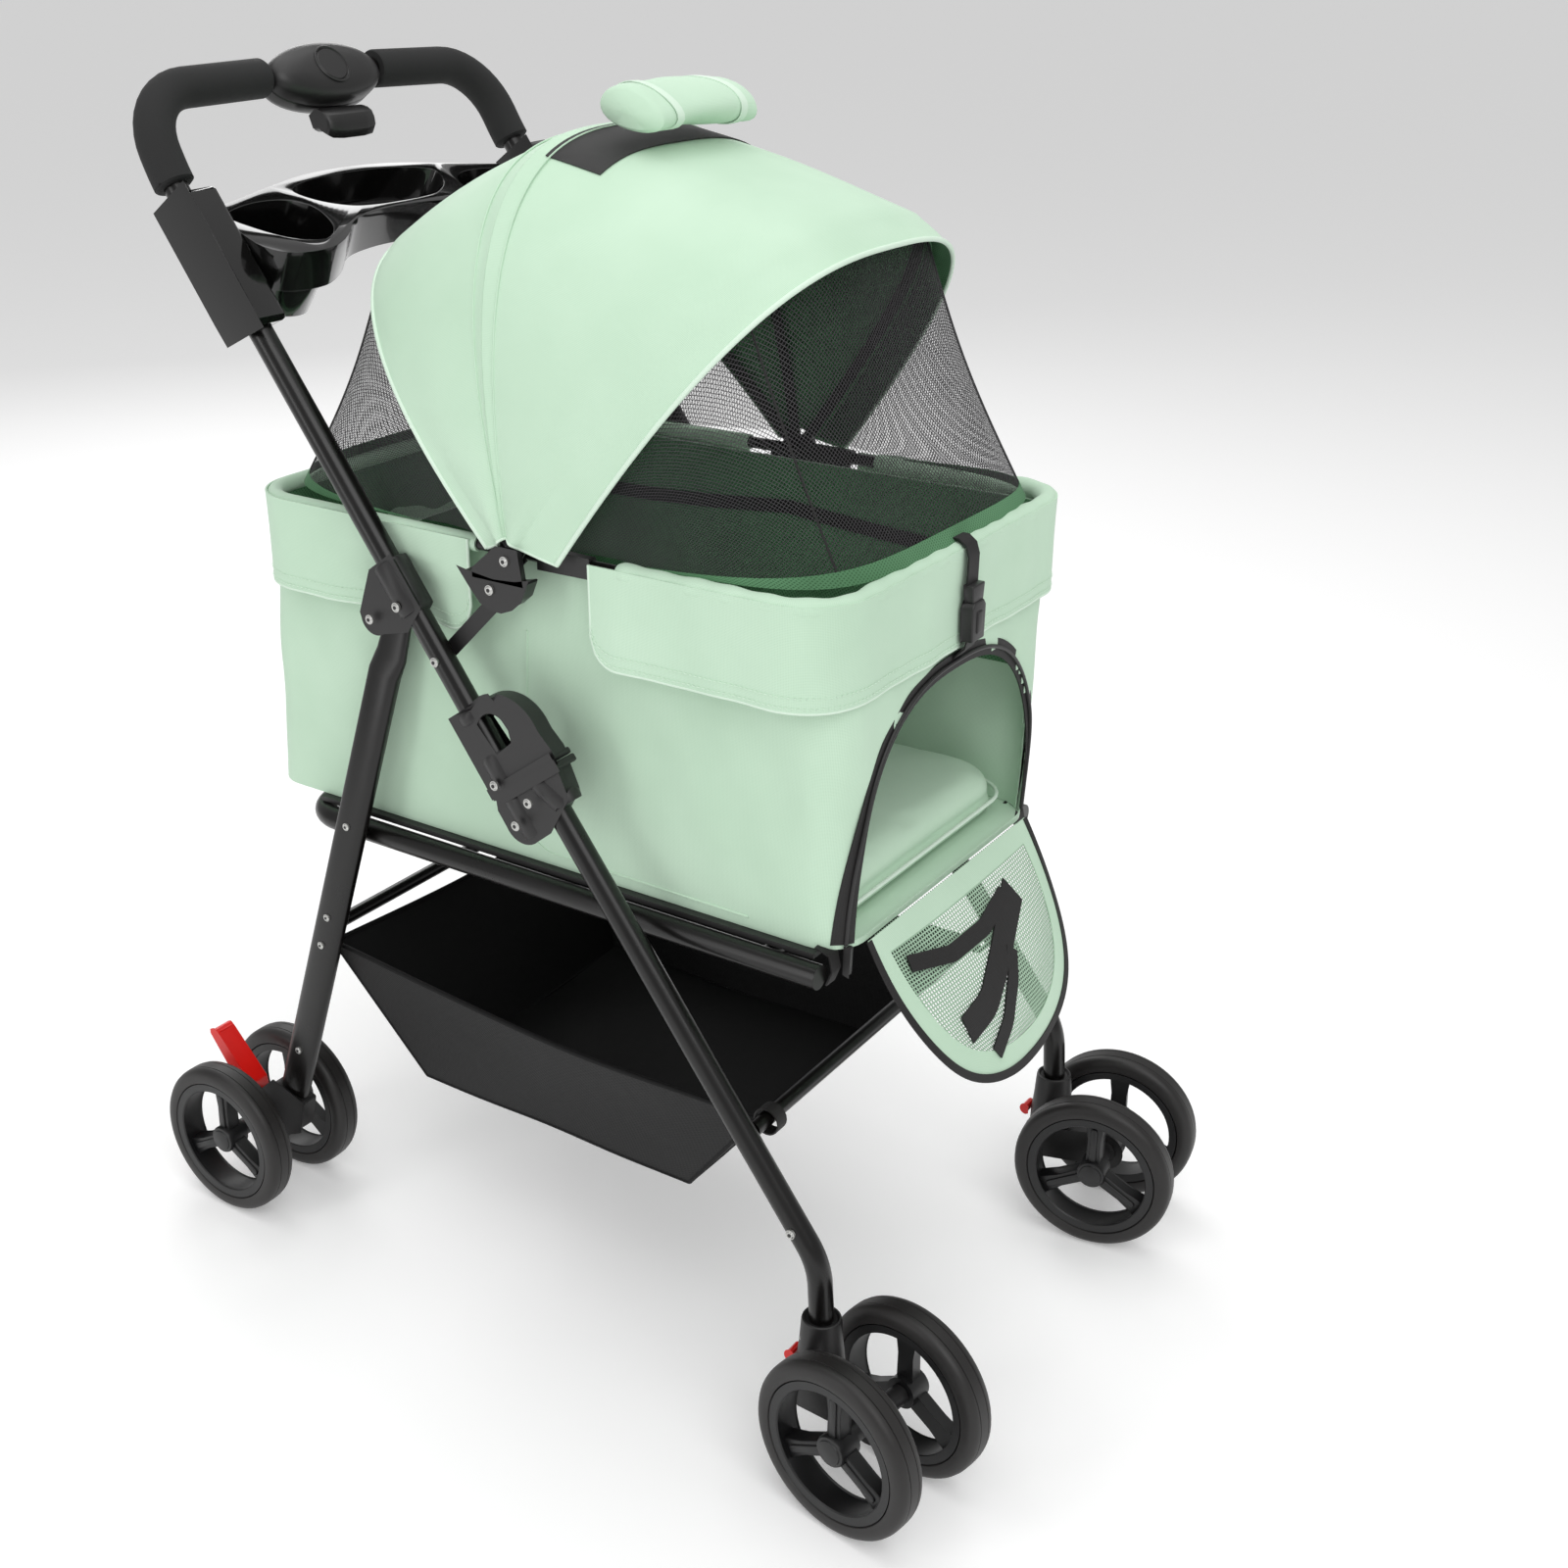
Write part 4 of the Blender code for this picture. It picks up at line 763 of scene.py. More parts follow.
def crumple(share, z):
    """The slight waviness of hanging cloth, in metres."""
    a = math.tau * share
    return (0.0011 * math.sin(9 * a + 14 * z) + 0.0007 * math.sin(19 * a - 31 * z + 1)
            + 0.0005 * math.sin(33 * a + 57 * z + 2))


def cabin_point(share, z, out):
    rise = (z - CABIN_LOW) / (CABIN_HEM - CABIN_LOW)
    point, way = around(share, FLOOR_X + SPREAD * rise, FRONT_Y,
                        REAR_Y + STRETCH * (1 - rise), WALL_TURN)
    belly = math.sin(math.pi * min(max(rise, 0), 1))
    spot = point + way * (out + belly * (crumple(share, z) + 0.0010))
    return Vector((spot.x, spot.y, z))


DOOR_HALF, DOOR_LOW, DOOR_TALL, DOOR_ROUND = 0.142, 0.4090, 0.1765, 2.6


def in_doorway(point, margin=0.0):
    if point.y > -0.19:
        return False
    wide, tall = DOOR_HALF - margin, DOOR_TALL - margin
    rise = max(point.z - DOOR_LOW, 0)
    reach = abs(point.x / wide) ** DOOR_ROUND + abs(rise / tall) ** DOOR_ROUND
    return point.z > DOOR_LOW and reach < 1


def cabin_wall(name, low, high, out, rows, material, holed=True, columns=300):
    rings = [[cabin_point(c / columns, low + (high - low) * r / rows, out)
              for c in range(columns)] for r in range(rows + 1)]
    made = loft(name, rings, material, caps=False)
    if holed:
        bm = bmesh.new()
        bm.from_mesh(made.data)
        gone = [f for f in bm.faces if in_doorway(f.calc_center_median(), 0.001)]
        bmesh.ops.delete(bm, geom=gone, context="FACES")
        bm.to_mesh(made.data)
        bm.free()
    return made


def thicken(piece, thick):
    """Gives a sheet its thickness, half to each side."""
    step = piece.modifiers.new("cloth", "SOLIDIFY")
    step.thickness, step.offset = thick, 0.0
    return settle(piece, 60)


def sinks(piece):
    """Gives the piece a mesh of its own."""
    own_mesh(piece)
    return piece


tub = [thicken(cabin_wall("wall", CABIN_LOW, CABIN_TOP, 0.0006, 52, MINT), 0.0010),
       thicken(cabin_wall("lower_inside", CABIN_LOW + 0.003, 0.532, -0.0022, 26, MINT), 0.0006)]
floor_ring = [[cabin_point(c / 96, CABIN_LOW + h, out) for c in range(96)]
              for h, out in ((0.0002, -0.0015), (0.0026, -0.0015))]
tub.append(settle(loft("floor_cloth", floor_ring, MINT)))
cabin = fit(gather("cabin_fabric", tub), "base", "cabin", slot="mint_fabric")
sinks(cabin)
lining = fit(thicken(cabin_wall("lining", 0.526, CABIN_TOP, -0.0030, 28, LINING), 0.0006), "base",
             slot="green_mesh")
lining.name = lining.data.name = "cabin_lining"
sinks(lining)


def ribbon(name, rows, thick, material):
    """A strap or a sheet: rows of points across it, given a thickness."""
    return thicken(loft(name, rows, material, wrap=False), thick)


band = [[cabin_point(s, z, -0.0052) for z in (0.6180, 0.6300)]
        for s in [0.03 + 0.94 * i / 220 for i in range(221)]]
for n, row in enumerate(band):
    dip = 0.012 * math.sin(math.pi * ((n / 55) % 1.0))
    band[n] = [p - Vector((0, 0, dip)) for p in row]
band = fit(ribbon("cabin_inner_strap", band, 0.0012, WEBBING), "base", slot="black_plastic")
sinks(band)


def front_y(x, z):
    rise = (z - CABIN_LOW) / (CABIN_HEM - CABIN_LOW)
    past = abs(x) - (FLOOR_X + SPREAD * rise - WALL_TURN)
    if past <= 0:
        return FRONT_Y
    return FRONT_Y + (WALL_TURN - math.sqrt(max(WALL_TURN ** 2 - past * past, 0)))


def door_edge(turn, grow=0.0):
    """The doorway's outline in the front wall, from its right foot to its left one."""
    a = math.pi * turn
    power = 2 / DOOR_ROUND
    x = -(DOOR_HALF + grow) * math.copysign(abs(math.cos(a)) ** power, math.cos(a))
    z = DOOR_LOW + (DOOR_TALL + grow) * abs(math.sin(a)) ** power
    return Vector((x, 0, z))


def on_front(point, out):
    return Vector((point.x, front_y(point.x, point.z) - out, point.z))


turns = [i / 120 for i in range(121)]
tape = ribbon("tape", [[on_front(door_edge(t, g), 0.0022) for g in (-0.0065, 0.0, 0.0065)]
                       for t in turns], 0.0012, WEBBING)
coil = pipe("coil", [on_front(door_edge(t), 0.0036) for t in turns], 0.0017, NYLON, 8)
pull = block("pull", [(-0.2600, 0.4080), (-0.2560, 0.4080), (-0.2555, 0.3860), (-0.2590, 0.3850)],
             -0.1440, -0.1380, NYLON, 0.0010)
zipper = fit(gather("door_zipper", [tape, coil, pull]), "base", slot="black_plastic")
sinks(zipper)

# Seams of the side panels, turned round at their lower corner, as raised welts
for side, way in SIDES.items():
    welt = []
    route = [(0.012, 0.604), (0.013, 0.580), (0.014, 0.520), (0.014, 0.460), (0.013, 0.436)]
    route += [(0.013 - 0.020 * (1 - math.cos(a)), 0.436 - 0.020 * math.sin(a))
              for a in (0.4, 0.8, 1.2, 1.57)]
    for y, z in route + [(-0.05, 0.4155), (-0.12, 0.4150), (-0.19, 0.4145)]:
        share = share_at(y, 0.1625, FRONT_Y, REAR_Y + 0.013, WALL_TURN)
        welt.append(cabin_point(share if way < 0 else 1 - share, z, 0.0012))
    seam = fit(pipe(f"cabin_side_seam_{side}", welt, 0.0009, MINT, 8), "base", slot="mint_fabric")
    sinks(seam)


# Rim. A steel hoop: in front it is rolled into the cloth, behind it is bound by the flap's edge,
# and beside the hinge it shows as a black square sleeve and a bare stretch of tube.
def rim_line(begin, end, steps, out=0.0, z=RIM_Z):
    run = []
    for i in range(steps + 1):
        point, way = around(begin + (end - begin) * i / steps, *RIM_SHAPE)
        run.append(Vector((*(point + way * out).xy, z)))
    return run


roll_from, tab_from = share_at(-0.088, *RIM_SHAPE), share_at(0.040, *RIM_SHAPE)
front_run = rim_line(roll_from, 1 - roll_from, 160)
sizes = [0.0078 + 0.0004 * math.sin(i * 0.9) + 0.0003 * math.sin(i * 0.37 + 1)
         for i in range(len(front_run))]
sizes[0] = sizes[-1] = 0.0068
rim_parts = [pipe("front_roll", front_run, sizes, MINT, 20),
             pipe("rear_roll", rim_line(-tab_from, tab_from, 160), 0.0066, MINT, 16)]
fit(gather("rim_roll", rim_parts), "rim", "rim_frame", slot="mint_fabric")
for side, way in SIDES.items():
    x = way * RIM_X
    parts = [pipe("bare", [(x, -0.086, RIM_Z), (x, 0.044, RIM_Z)], 0.0050, PAINT, 16),
             block("square", [(-0.064, RIM_Z - 0.0062), (-0.020, RIM_Z - 0.0068),
                              (-0.020, RIM_Z + 0.0068), (-0.064, RIM_Z + 0.0062)],
                   x - 0.0060, x + 0.0060, NYLON, 0.0016)]
    fit(gather(f"rim_sleeve_{side}", parts), "rim", slot="black_plastic")


# Flaps. Two doubled bands of the same polyester hang from the rim over the tub's top, one round
# the back and one round the front. Each ends in a rounded corner and a wide stitched hem.
def flap_point(share, z, out=0.0):
    drop = RIM_Z - z
    point, way = around(share, *RIM_SHAPE)
    lean = 0.0070 - 0.018 * drop + 0.6 * min(drop / 0.03, 1) * crumple(share * 1.3, z * 0.5)
    pinch = math.exp(-((point.y - 0.122) / 0.040) ** 2) * min(max((drop - 0.018) / 0.022, 0), 1)
    lean -= (0.0125 if abs(point.x) > 0.15 else 0.0) * pinch
    spot = point + way * (lean + out)
    return Vector((spot.x, spot.y, z))


def flap(begin, end, hem, columns=200, count=20, curve=0.022):
    """The rows of a flap from its top down to hem, its lower corners rounded by curve."""
    rows, top, whole = [], RIM_Z + 0.004, abs(end - begin) * perimeter
    for r in range(count + 1):
        row = []
        for c in range(columns + 1):
            share = begin + (end - begin) * c / columns
            gap = min(c, columns - c) / columns * whole
            lift = curve - math.sqrt(max(curve ** 2 - max(curve - gap, 0) ** 2, 0))
            row.append(flap_point(share, top - (top - hem - lift) * r / count))
        rows.append(row)
    return rows


perimeter = (4 * (RIM_X - RIM_TURN) + 2 * (REAR_Y - FRONT_Y - 2 * RIM_TURN)
             + math.tau * RIM_TURN)
front_end, rear_end = share_at(-0.066, *RIM_SHAPE), share_at(0.046, *RIM_SHAPE)
flap_rows = {"front": flap(front_end, 1 - front_end, 0.598),
             "rear": flap(-rear_end, rear_end, 0.600)}
FLAP_STITCHES = []
for end, rows in flap_rows.items():
    piece = fit(thicken(loft(f"flap_{end}", rows, MINT, wrap=False), 0.0016), "rim",
                slot="mint_fabric")
    piece.name = f"rim_flap_{end}"
    edge = [row[0] for row in rows] + rows[-1][1:-1] + [row[-1] for row in rows[::-1]]
    fit(pipe(f"rim_flap_binding_{end}", edge, 0.0012, BINDING, 8), "rim", slot="mint_fabric")
    for level in (-4, -2):
        hem_line = []
        for p in rows[level]:
            beside = abs(p.x) > 0.17
            hem_line.append(p + Vector((math.copysign(0.0010, p.x) if beside else 0,
                                        0 if beside else math.copysign(0.0010, p.y), 0)))
        FLAP_STITCHES.append(hem_line)


# Canopy. One curved sheet of polyester stretched over three flat plastic hoops, lined with green
# air mesh and edged with pale piping. It stands forward of the first hoop as a visor.
def hoop_line(angle, shift, hem, half_x=0.1983, radius=0.2885, grow=0.0, steps=72):
    """A canopy arch: its plane raised by angle from the front, moved forward by shift, and
    cut off at the height hem on both sides."""
    a = math.radians(angle)

    def spot(share):
        t = math.pi * share
        x = -(half_x + grow) * math.copysign(abs(math.cos(t)) ** (2 / 2.8), math.cos(t))
        reach = (radius + grow) * abs(math.sin(t)) ** (2 / 2.8)
        return Vector((x, HINGE[0] - reach * math.cos(a) - shift * math.sin(a),
                       HINGE[1] + reach * math.sin(a) - shift * math.cos(a)))

    foot, top = 0.0, 0.25
    for _ in range(30):
        mid = (foot + top) / 2
        foot, top = (mid, top) if spot(mid).z < hem else (foot, mid)
    return [spot(foot + (1 - 2 * foot) * i / steps) for i in range(steps + 1)]


def hood_rows(grow, steps=72):
    """The hood's cloth from its front edge to its rear edge, straight between the hoops."""
    stops = [hoop_line(54, 0.0316, 0.6725, grow=grow, steps=steps),
             hoop_line(54, 0.0, 0.6790, grow=grow, steps=steps),
             hoop_line(97.5, 0.0, 0.6850, grow=grow, steps=steps),
             hoop_line(100, 0.0, 0.6855, grow=grow + 0.0022, steps=steps),
             hoop_line(102.5, 0.0, 0.6850, grow=grow, steps=steps),
             hoop_line(133, 0.0, 0.6790, grow=grow, steps=steps),
             hoop_line(133, -0.012, 0.6740, grow=grow - 0.001, steps=steps)]
    rows = []
    for (one, two), count, bow in zip(zip(stops, stops[1:]), (5, 16, 2, 2, 12, 2),
                                      (0.0, 0.0035, 0, 0, 0.0045, 0)):
        for k in range(count):
            t = k / count
            swell = bow * math.sin(math.pi * t)
            row = []
            for i, (p, q) in enumerate(zip(one, two)):
                mid = p.lerp(q, t)
                out = Vector((mid.x * 0.6, mid.y - HINGE[0], mid.z - HINGE[1])).normalized()
                ripple = 0.0006 * math.sin(i * 0.55 + 5 * t) * math.sin(math.pi * t)
                row.append(mid + out * (swell + ripple))
            rows.append(row)
    return rows + [stops[-1]]


FRONT_BEND = ("canopy_front", "rim", (0, -0.170, HINGE[1]), (0, 0.331, HINGE[1]))
REAR_BEND = ("canopy_main", "rim", (0, 0.047, HINGE[1]), (0, 0.340, HINGE[1]))
rows, MAIN_ROW = hood_rows(0.0), 23
inner_rows = hood_rows(-0.0016)
for end, bend, part in (("front", FRONT_BEND, slice(0, MAIN_ROW + 1)),
                        ("rear", REAR_BEND, slice(MAIN_ROW, None))):
    fit(ribbon(f"canopy_fabric_{end}", rows[part], 0.0010, MINT), bend, "canopy_hood",
        slot="mint_fabric")
    fit(ribbon(f"canopy_lining_{end}", inner_rows[part], 0.0006, LINING), bend, slot="green_mesh")
    trim = [pipe("piping", rows[0] if end == "front" else rows[-1], 0.0020, BINDING, 10),
            pipe("right_hem", [r[0] for r in rows[part]], 0.0012, BINDING, 8),
            pipe("left_hem", [r[-1] for r in rows[part]], 0.0012, BINDING, 8)]
    fit(gather(f"canopy_piping_{end}", trim), bend, slot="mint_fabric")
seams = [pipe("seam", hoop_line(angle, 0, 0.6850, grow=0.0006), 0.0007, MINT, 6)
         for angle in (96.6, 103.4)]
fit(gather("canopy_main_seams", seams), "canopy_main", slot="mint_fabric")

# The window's cover, rolled up on top over its dark net window
ROLL_HALF, ROLL_Y, ROLL_Z = 0.066, -0.014, 0.9725
roll = []
for i in range(37):
    x = -ROLL_HALF + 2 * ROLL_HALF * i / 36
    past = max(abs(x) - 0.058, 0) / 0.008
    grow = math.sqrt(max(1 - past * past, 0.02))
    ring = []
    for k in range(28):
        a = math.tau * k / 28
        bumpy = 1 + 0.05 * math.sin(3 * a + 40 * x) + 0.03 * math.sin(90 * x)
        y = 0.031 * math.cos(a) * grow * bumpy * (1 + 0.10 * math.sin(20 * x))
        z = 0.0145 * math.sin(a) * grow * bumpy
        tilt = math.radians(14)
        ring.append((x, ROLL_Y + y * math.cos(tilt) - z * math.sin(tilt),
                     ROLL_Z + y * math.sin(tilt) + z * math.cos(tilt) - 0.5 * x * x))
    roll.append(ring)
cover = settle(loft("canopy_window_roll", roll, MINT))
ties = []
for x in (-0.040, 0.040):
    ring = roll[round((x + ROLL_HALF) / (2 * ROLL_HALF) * 36)]
    ties.append(ribbon("tie", [[Vector(p) + (Vector(p) - Vector((x, ROLL_Y, ROLL_Z))) * 0.04
                                + Vector((dx, 0, 0)) for dx in (-0.004, 0.004)]
                               for p in ring + ring[:1]], 0.0008, BINDING))
ties = gather("canopy_roll_ties", ties)
window = [[p + (p - Vector((0, *HINGE))).normalized() * 0.0014 for p in row[27:46]]
          for row in hood_rows(0.0)[17:22]]
window = ribbon("canopy_top_window", window, 0.0006, WEBBING)
for piece, slot in ((cover, "mint_fabric"), (ties, "mint_fabric"), (window, "black_plastic")):
    fit(piece, FRONT_BEND, slot=slot)

# See-through net closes both ends, sewn with a dark green border
for end, angle, way, edge_y in (("front", 54, -1, FRONT_Y), ("rear", 133, 1, REAR_Y)):
    upper = hoop_line(angle, -0.006 * way, 0.6800, 0.1965, 0.2865)
    lower = []
    for i in range(73):
        t = math.pi * (0.02 + 0.96 * i / 72)
        start = HINGE[0] + way * 0.045
        lower.append(Vector((-0.1775 * math.copysign(abs(math.cos(t)) ** 0.42, math.cos(t)),
                             start + (edge_y - start) * abs(math.sin(t)) ** 0.42, 0.6768)))
    rows = []
    for k in range(21):
        t = k / 20
        sag = 0.006 * math.sin(math.pi * t)
        rows.append([p.lerp(q, t) + (Vector((0, HINGE[0], 0.72)) - p.lerp(q, t)).normalized() * sag
                     for p, q in zip(upper, lower)])
    net = ribbon(f"canopy_{end}_net", rows, 0.0003, NET)
    bend = "canopy_front" if end == "front" else \
        ("canopy_rear", "rim", (0, 0.195, 0.880), (0, REAR_Y, 0.677))
    fit(net, bend, f"{end}_mesh", slot="grey_mesh")
    border = []
    for some in (rows[:2], rows[-2:]):
        border.append(ribbon("edge", [[p + (p - Vector((0, 0, 0.70))).normalized() * 0.0006
                                       for p in row] for row in some], 0.0007, LINING))
    for column in (22, 50):
        border.append(pipe("net_seam", [row[column] for row in rows], 0.0009, WEBBING, 6))
    border = fit(gather(f"canopy_{end}_net_border", border), bend, slot="green_mesh")
    if end == "front":
        for piece in (net, border):
            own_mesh(piece)


# Cushion. A foam mat in the same polyester: crowned, with rounded corners, its cloth puffed by
# the filling, and a welt sewn round its edge.
low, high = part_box("cushion")
mat, turn = [], 0.035
for z, inset in ((low.z + 0.002, 0.007), (low.z + 0.007, 0.0025), (low.z + 0.020, 0.0015),
                 (low.z + 0.029, 0.004), (low.z + 0.033, 0.011)):
    ring = []
    for i in range(160):
        point, out = around(i / 160, high.x, low.y, high.y, turn)
        ring.append(Vector((*(point - out * inset).xy, z)))
    mat.append(ring)
cushion = loft("cushion_cover", mat, MINT)
step = cushion.modifiers.new("even", "REMESH")
step.mode, step.voxel_size = "VOXEL", 0.0055
settle(cushion)
cushion.data.materials.clear()
cushion.data.materials.append(MINT)
rest = [v.co.copy() for v in cushion.data.vertices]
cloth = cushion.modifiers.new("puff", "CLOTH")
cloth.settings.use_pressure = True
cloth.settings.uniform_pressure_force = 4.0
cloth.settings.effector_weights.gravity = 0.0
cloth.settings.quality = 5
cloth.point_cache.frame_start, cloth.point_cache.frame_end = 1, 16
scene = bpy.context.scene
for now in range(1, 17):
    scene.frame_set(now)
view = bpy.context.evaluated_depsgraph_get()
puffed = bpy.data.meshes.new_from_object(cushion.evaluated_get(view))
cap = 0.0050
for v, was in zip(puffed.vertices, rest):
    move = v.co - was
    if move.length > cap:
        move *= cap / move.length
    if was.z < low.z + 0.012:
        move.z = 0
        move *= 0.3
    v.co = was + move
cushion.modifiers.clear()
cushion.data = puffed
scene.frame_set(1)
MAT_MIDDLE, MAT_REACH = 0.0133, 0.2567
for v in cushion.data.vertices:
    reach = max(abs(v.co.x) / high.x, abs(v.co.y - MAT_MIDDLE) / MAT_REACH)
    crown = 0.0065 * (1 - min(reach, 1) ** 2)
    if v.co.z > low.z + 0.02:
        v.co.z += crown + 0.0012 * math.sin(31 * v.co.x + 3) * math.sin(23 * v.co.y)
bm = bmesh.new()
bm.from_mesh(cushion.data)
layer = bm.loops.layers.uv.get("cloth") or bm.loops.layers.uv.new("cloth")
for f in bm.faces:
    for corner in f.loops:
        p = corner.vert.co
        corner[layer].uv = (p.x, p.y + p.z)
bm.to_mesh(cushion.data)
bm.free()
step = cushion.modifiers.new("soft", "SUBSURF")
step.levels = step.render_levels = 1
settle(cushion, 180)
fit(cushion, "base", "cushion", slot="mint_fabric")
welt = []
for i in range(200):
    point, out = around(i / 200, high.x, low.y, high.y, turn)
    welt.append((*(point + out * 0.0008).xy, low.z + 0.0165))
fit(pipe("cushion_welt", welt, 0.0017, BINDING, 10, closed=True), "base", slot="mint_fabric")


# Door. The front panel hangs open from the floor's edge: net in a wide green border, bound in
# black zipper tape, with two webbing straps across its inside.
low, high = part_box("door_flap")
hinge = Vector((0, high.y - 0.0010, high.z - 0.0008))
half_wide, drop = high.x - 0.001, high.z - low.z - 0.002
SWING = (high.y - low.y - 0.002) / drop


def door_point(x, d, out=0.0):
    """A point of the panel, x across it and d below its hinge, bellied and slightly creased."""
    share = min(d / drop, 1)
    bow = 0.012 * math.sin(math.pi * share) * (1 - (x / half_wide) ** 2)
    crease = 0.0015 * math.sin(38 * x + 40 * d) * share
    return hinge + Vector((x, -d * SWING - bow + crease - out, -d))


def door_line(turn, grow=1.0, out=0.0):
    """The panel's rounded edge, from its right end at 0 down and around to its left end at 1."""
    a = math.pi * turn
    x = -half_wide * math.copysign(abs(math.cos(a)) ** 0.8, math.cos(a))
    return door_point(x * grow, drop * abs(math.sin(a)) ** 0.8 * grow, out)


def span(begin, end, steps):
    return [begin + (end - begin) * i / steps for i in range(steps + 1)]


DOOR_NET = woven("door_net", "#8FB095", "#BBD6BE", 0.0030, 0.0001, 0.75, holes=0.70, slant=90)
rows = []
for r in range(25):
    level = 0.985 * r / 24
    wide = half_wide * (1 - level ** 2.5) ** 0.4 * 0.92
    rows.append([door_point(wide * u, drop * level * 0.95) for u in span(-1, 1, 36)])
fit(ribbon("door_net", rows, 0.0004, DOOR_NET), "door", "door_flap", slot="green_mesh")
turns = span(0, 1, 96)
border = [ribbon("border", [[door_line(t, g, 0.0010) for g in (0.86, 0.93, 1.0)] for t in turns],
                 0.0008, MINT)]
border.append(ribbon("hem", [[door_point(x, d, 0.0010) for d in (0.0, 0.008, 0.014)]
                             for x in span(-half_wide * 0.97, half_wide * 0.97, 40)], 0.0008, MINT))
fit(gather("door_border", border), "door", slot="mint_fabric")
edge = ribbon("edge", [[door_line(t, g, 0.0018) for g in (0.975, 1.02)] for t in turns],
              0.0012, WEBBING)
fit(edge, "door", slot="black_plastic")
edge.name = edge.data.name = "door_zipper_tape"
strap = []
for route, wide in ((((-0.098, 0.026), (-0.050, 0.036), (0.000, 0.036), (0.046, 0.028)), 0.0055),
                    (((-0.070, 0.084), (-0.036, 0.078), (0.004, 0.056), (0.060, 0.030)), 0.0105),
                    (((-0.044, 0.112), (-0.020, 0.098), (0.006, 0.074), (0.020, 0.058)), 0.0060)):
    line = rounded_path([(*spot, 0) for spot in route], (0.05, 0.05))
    rows = []
    for before, point, after in zip(line[:1] + line, line, line[1:] + line[-1:]):
        along = (after - before).normalized()
        side = Vector((-along.y, along.x, 0)) * wide
        rows.append([door_point((point + side * k).x, (point + side * k).y, 0.0028)
                     for k in (-1, 0, 1)])
    strap.append(ribbon("strap", rows, 0.0013, WEBBING))
fit(gather("door_straps", strap), "door", slot="black_plastic")


# Basket. A bag of black polyester with an open top, hung on the front bar and on the rear legs.
# Its side panels are net, its edges are bound, and its cloth sags between its corners.
BAG = woven("black_polyester", "#050505", "#0E0E0F", 0.0012, 0.00012, 0.72, Specular_IOR_Level=0.3)
BAG_NET = woven("black_air_mesh", "#040404", "#161617", 0.0032, 0.00035, 0.75, slant=42)
low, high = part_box("basket")
base_y, top_y = (low.y + 0.085, high.y - 0.070), (low.y, high.y)


def bag_corner(level, ways):
    """A corner of the bag: level 0 is the floor and 1 the open top."""
    x_way, y_way = ways
    wide = 0.138 + 0.0325 * level
    front, rear = (a + (b - a) * level for a, b in zip(base_y, top_y))
    tall = 0.112 + (0.014 if y_way > 0 else -0.003)
    return Vector((x_way * wide, (rear - 0.001) if y_way > 0 else (front + 0.001),
                   low.z + 0.0015 + tall * level))


def bag_side(one, two, steps=40, rows_up=16):
    """A side between two corners, bellied between them and drawn down at its open edge."""
    rows = []
    for r in range(rows_up + 1):
        level = r / rows_up
        row = []
        for c in range(steps + 1):
            t = c / steps
            p = bag_corner(level, one).lerp(bag_corner(level, two), t)
            mid = math.sin(math.pi * t)
            away = Vector((p.x if one[0] == two[0] else 0, p.y if one[1] == two[1] else 0,
                           0)).normalized()
            p -= away * 0.004 * mid * math.sin(math.pi * level)
            p.z -= (0.010 * mid ** 1.4) * level
            p += away * 0.0012 * math.sin(9 * t + 5 * level) * mid
            row.append(p)
        rows.append(row)
    return rows


SIDE_PAIRS = {"right": ((-1, -1), (-1, 1)), "left": ((1, 1), (1, -1)), "front": ((1, -1), (-1, -1)),
              "rear": ((-1, 1), (1, 1))}
bag, rims = [], []
for name, pair in SIDE_PAIRS.items():
    rows = bag_side(*pair)
    bag.append(ribbon("side", rows, 0.0012, BAG_NET if name in SIDES else BAG))
    rims.append(pipe("edge", rows[-1], 0.0022, BAG, 10))
    rims.append(pipe("welt", [row[0] for row in rows], 0.0016, BAG, 8))
    rims.append(pipe("foot", rows[0], 0.0016, BAG, 8))
rows = [[Vector((x, y, low.z + 0.0020 + 0.0018 * math.sin(x * 30) * math.sin(y * 22 + 1)))
         for x in span(-0.1375, 0.1375, 24)] for y in span(base_y[0], base_y[1], 34)]
bag.append(ribbon("floor", rows, 0.0014, BAG))
for name, way in SIDES.items():
    spot = bag_corner(1, (way, -1))
    loop = [[spot + Vector((0.004 * way * k, -0.002 + 0.0105 * math.cos(a) - 0.009,
                            0.004 + 0.0105 * math.sin(a))) for k in (-2, 1)]
            for a in span(0, math.tau, 20)]
    rims.append(ribbon("hanger", loop, 0.0012, WEBBING))
fit(gather("basket_cloth", bag), "base", "basket", slot="basket_cloth")
fit(gather("basket_binding", rims), "base", slot="basket_cloth")
for name in ("basket_cloth", "basket_binding"):
    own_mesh(bpy.data.objects[name])


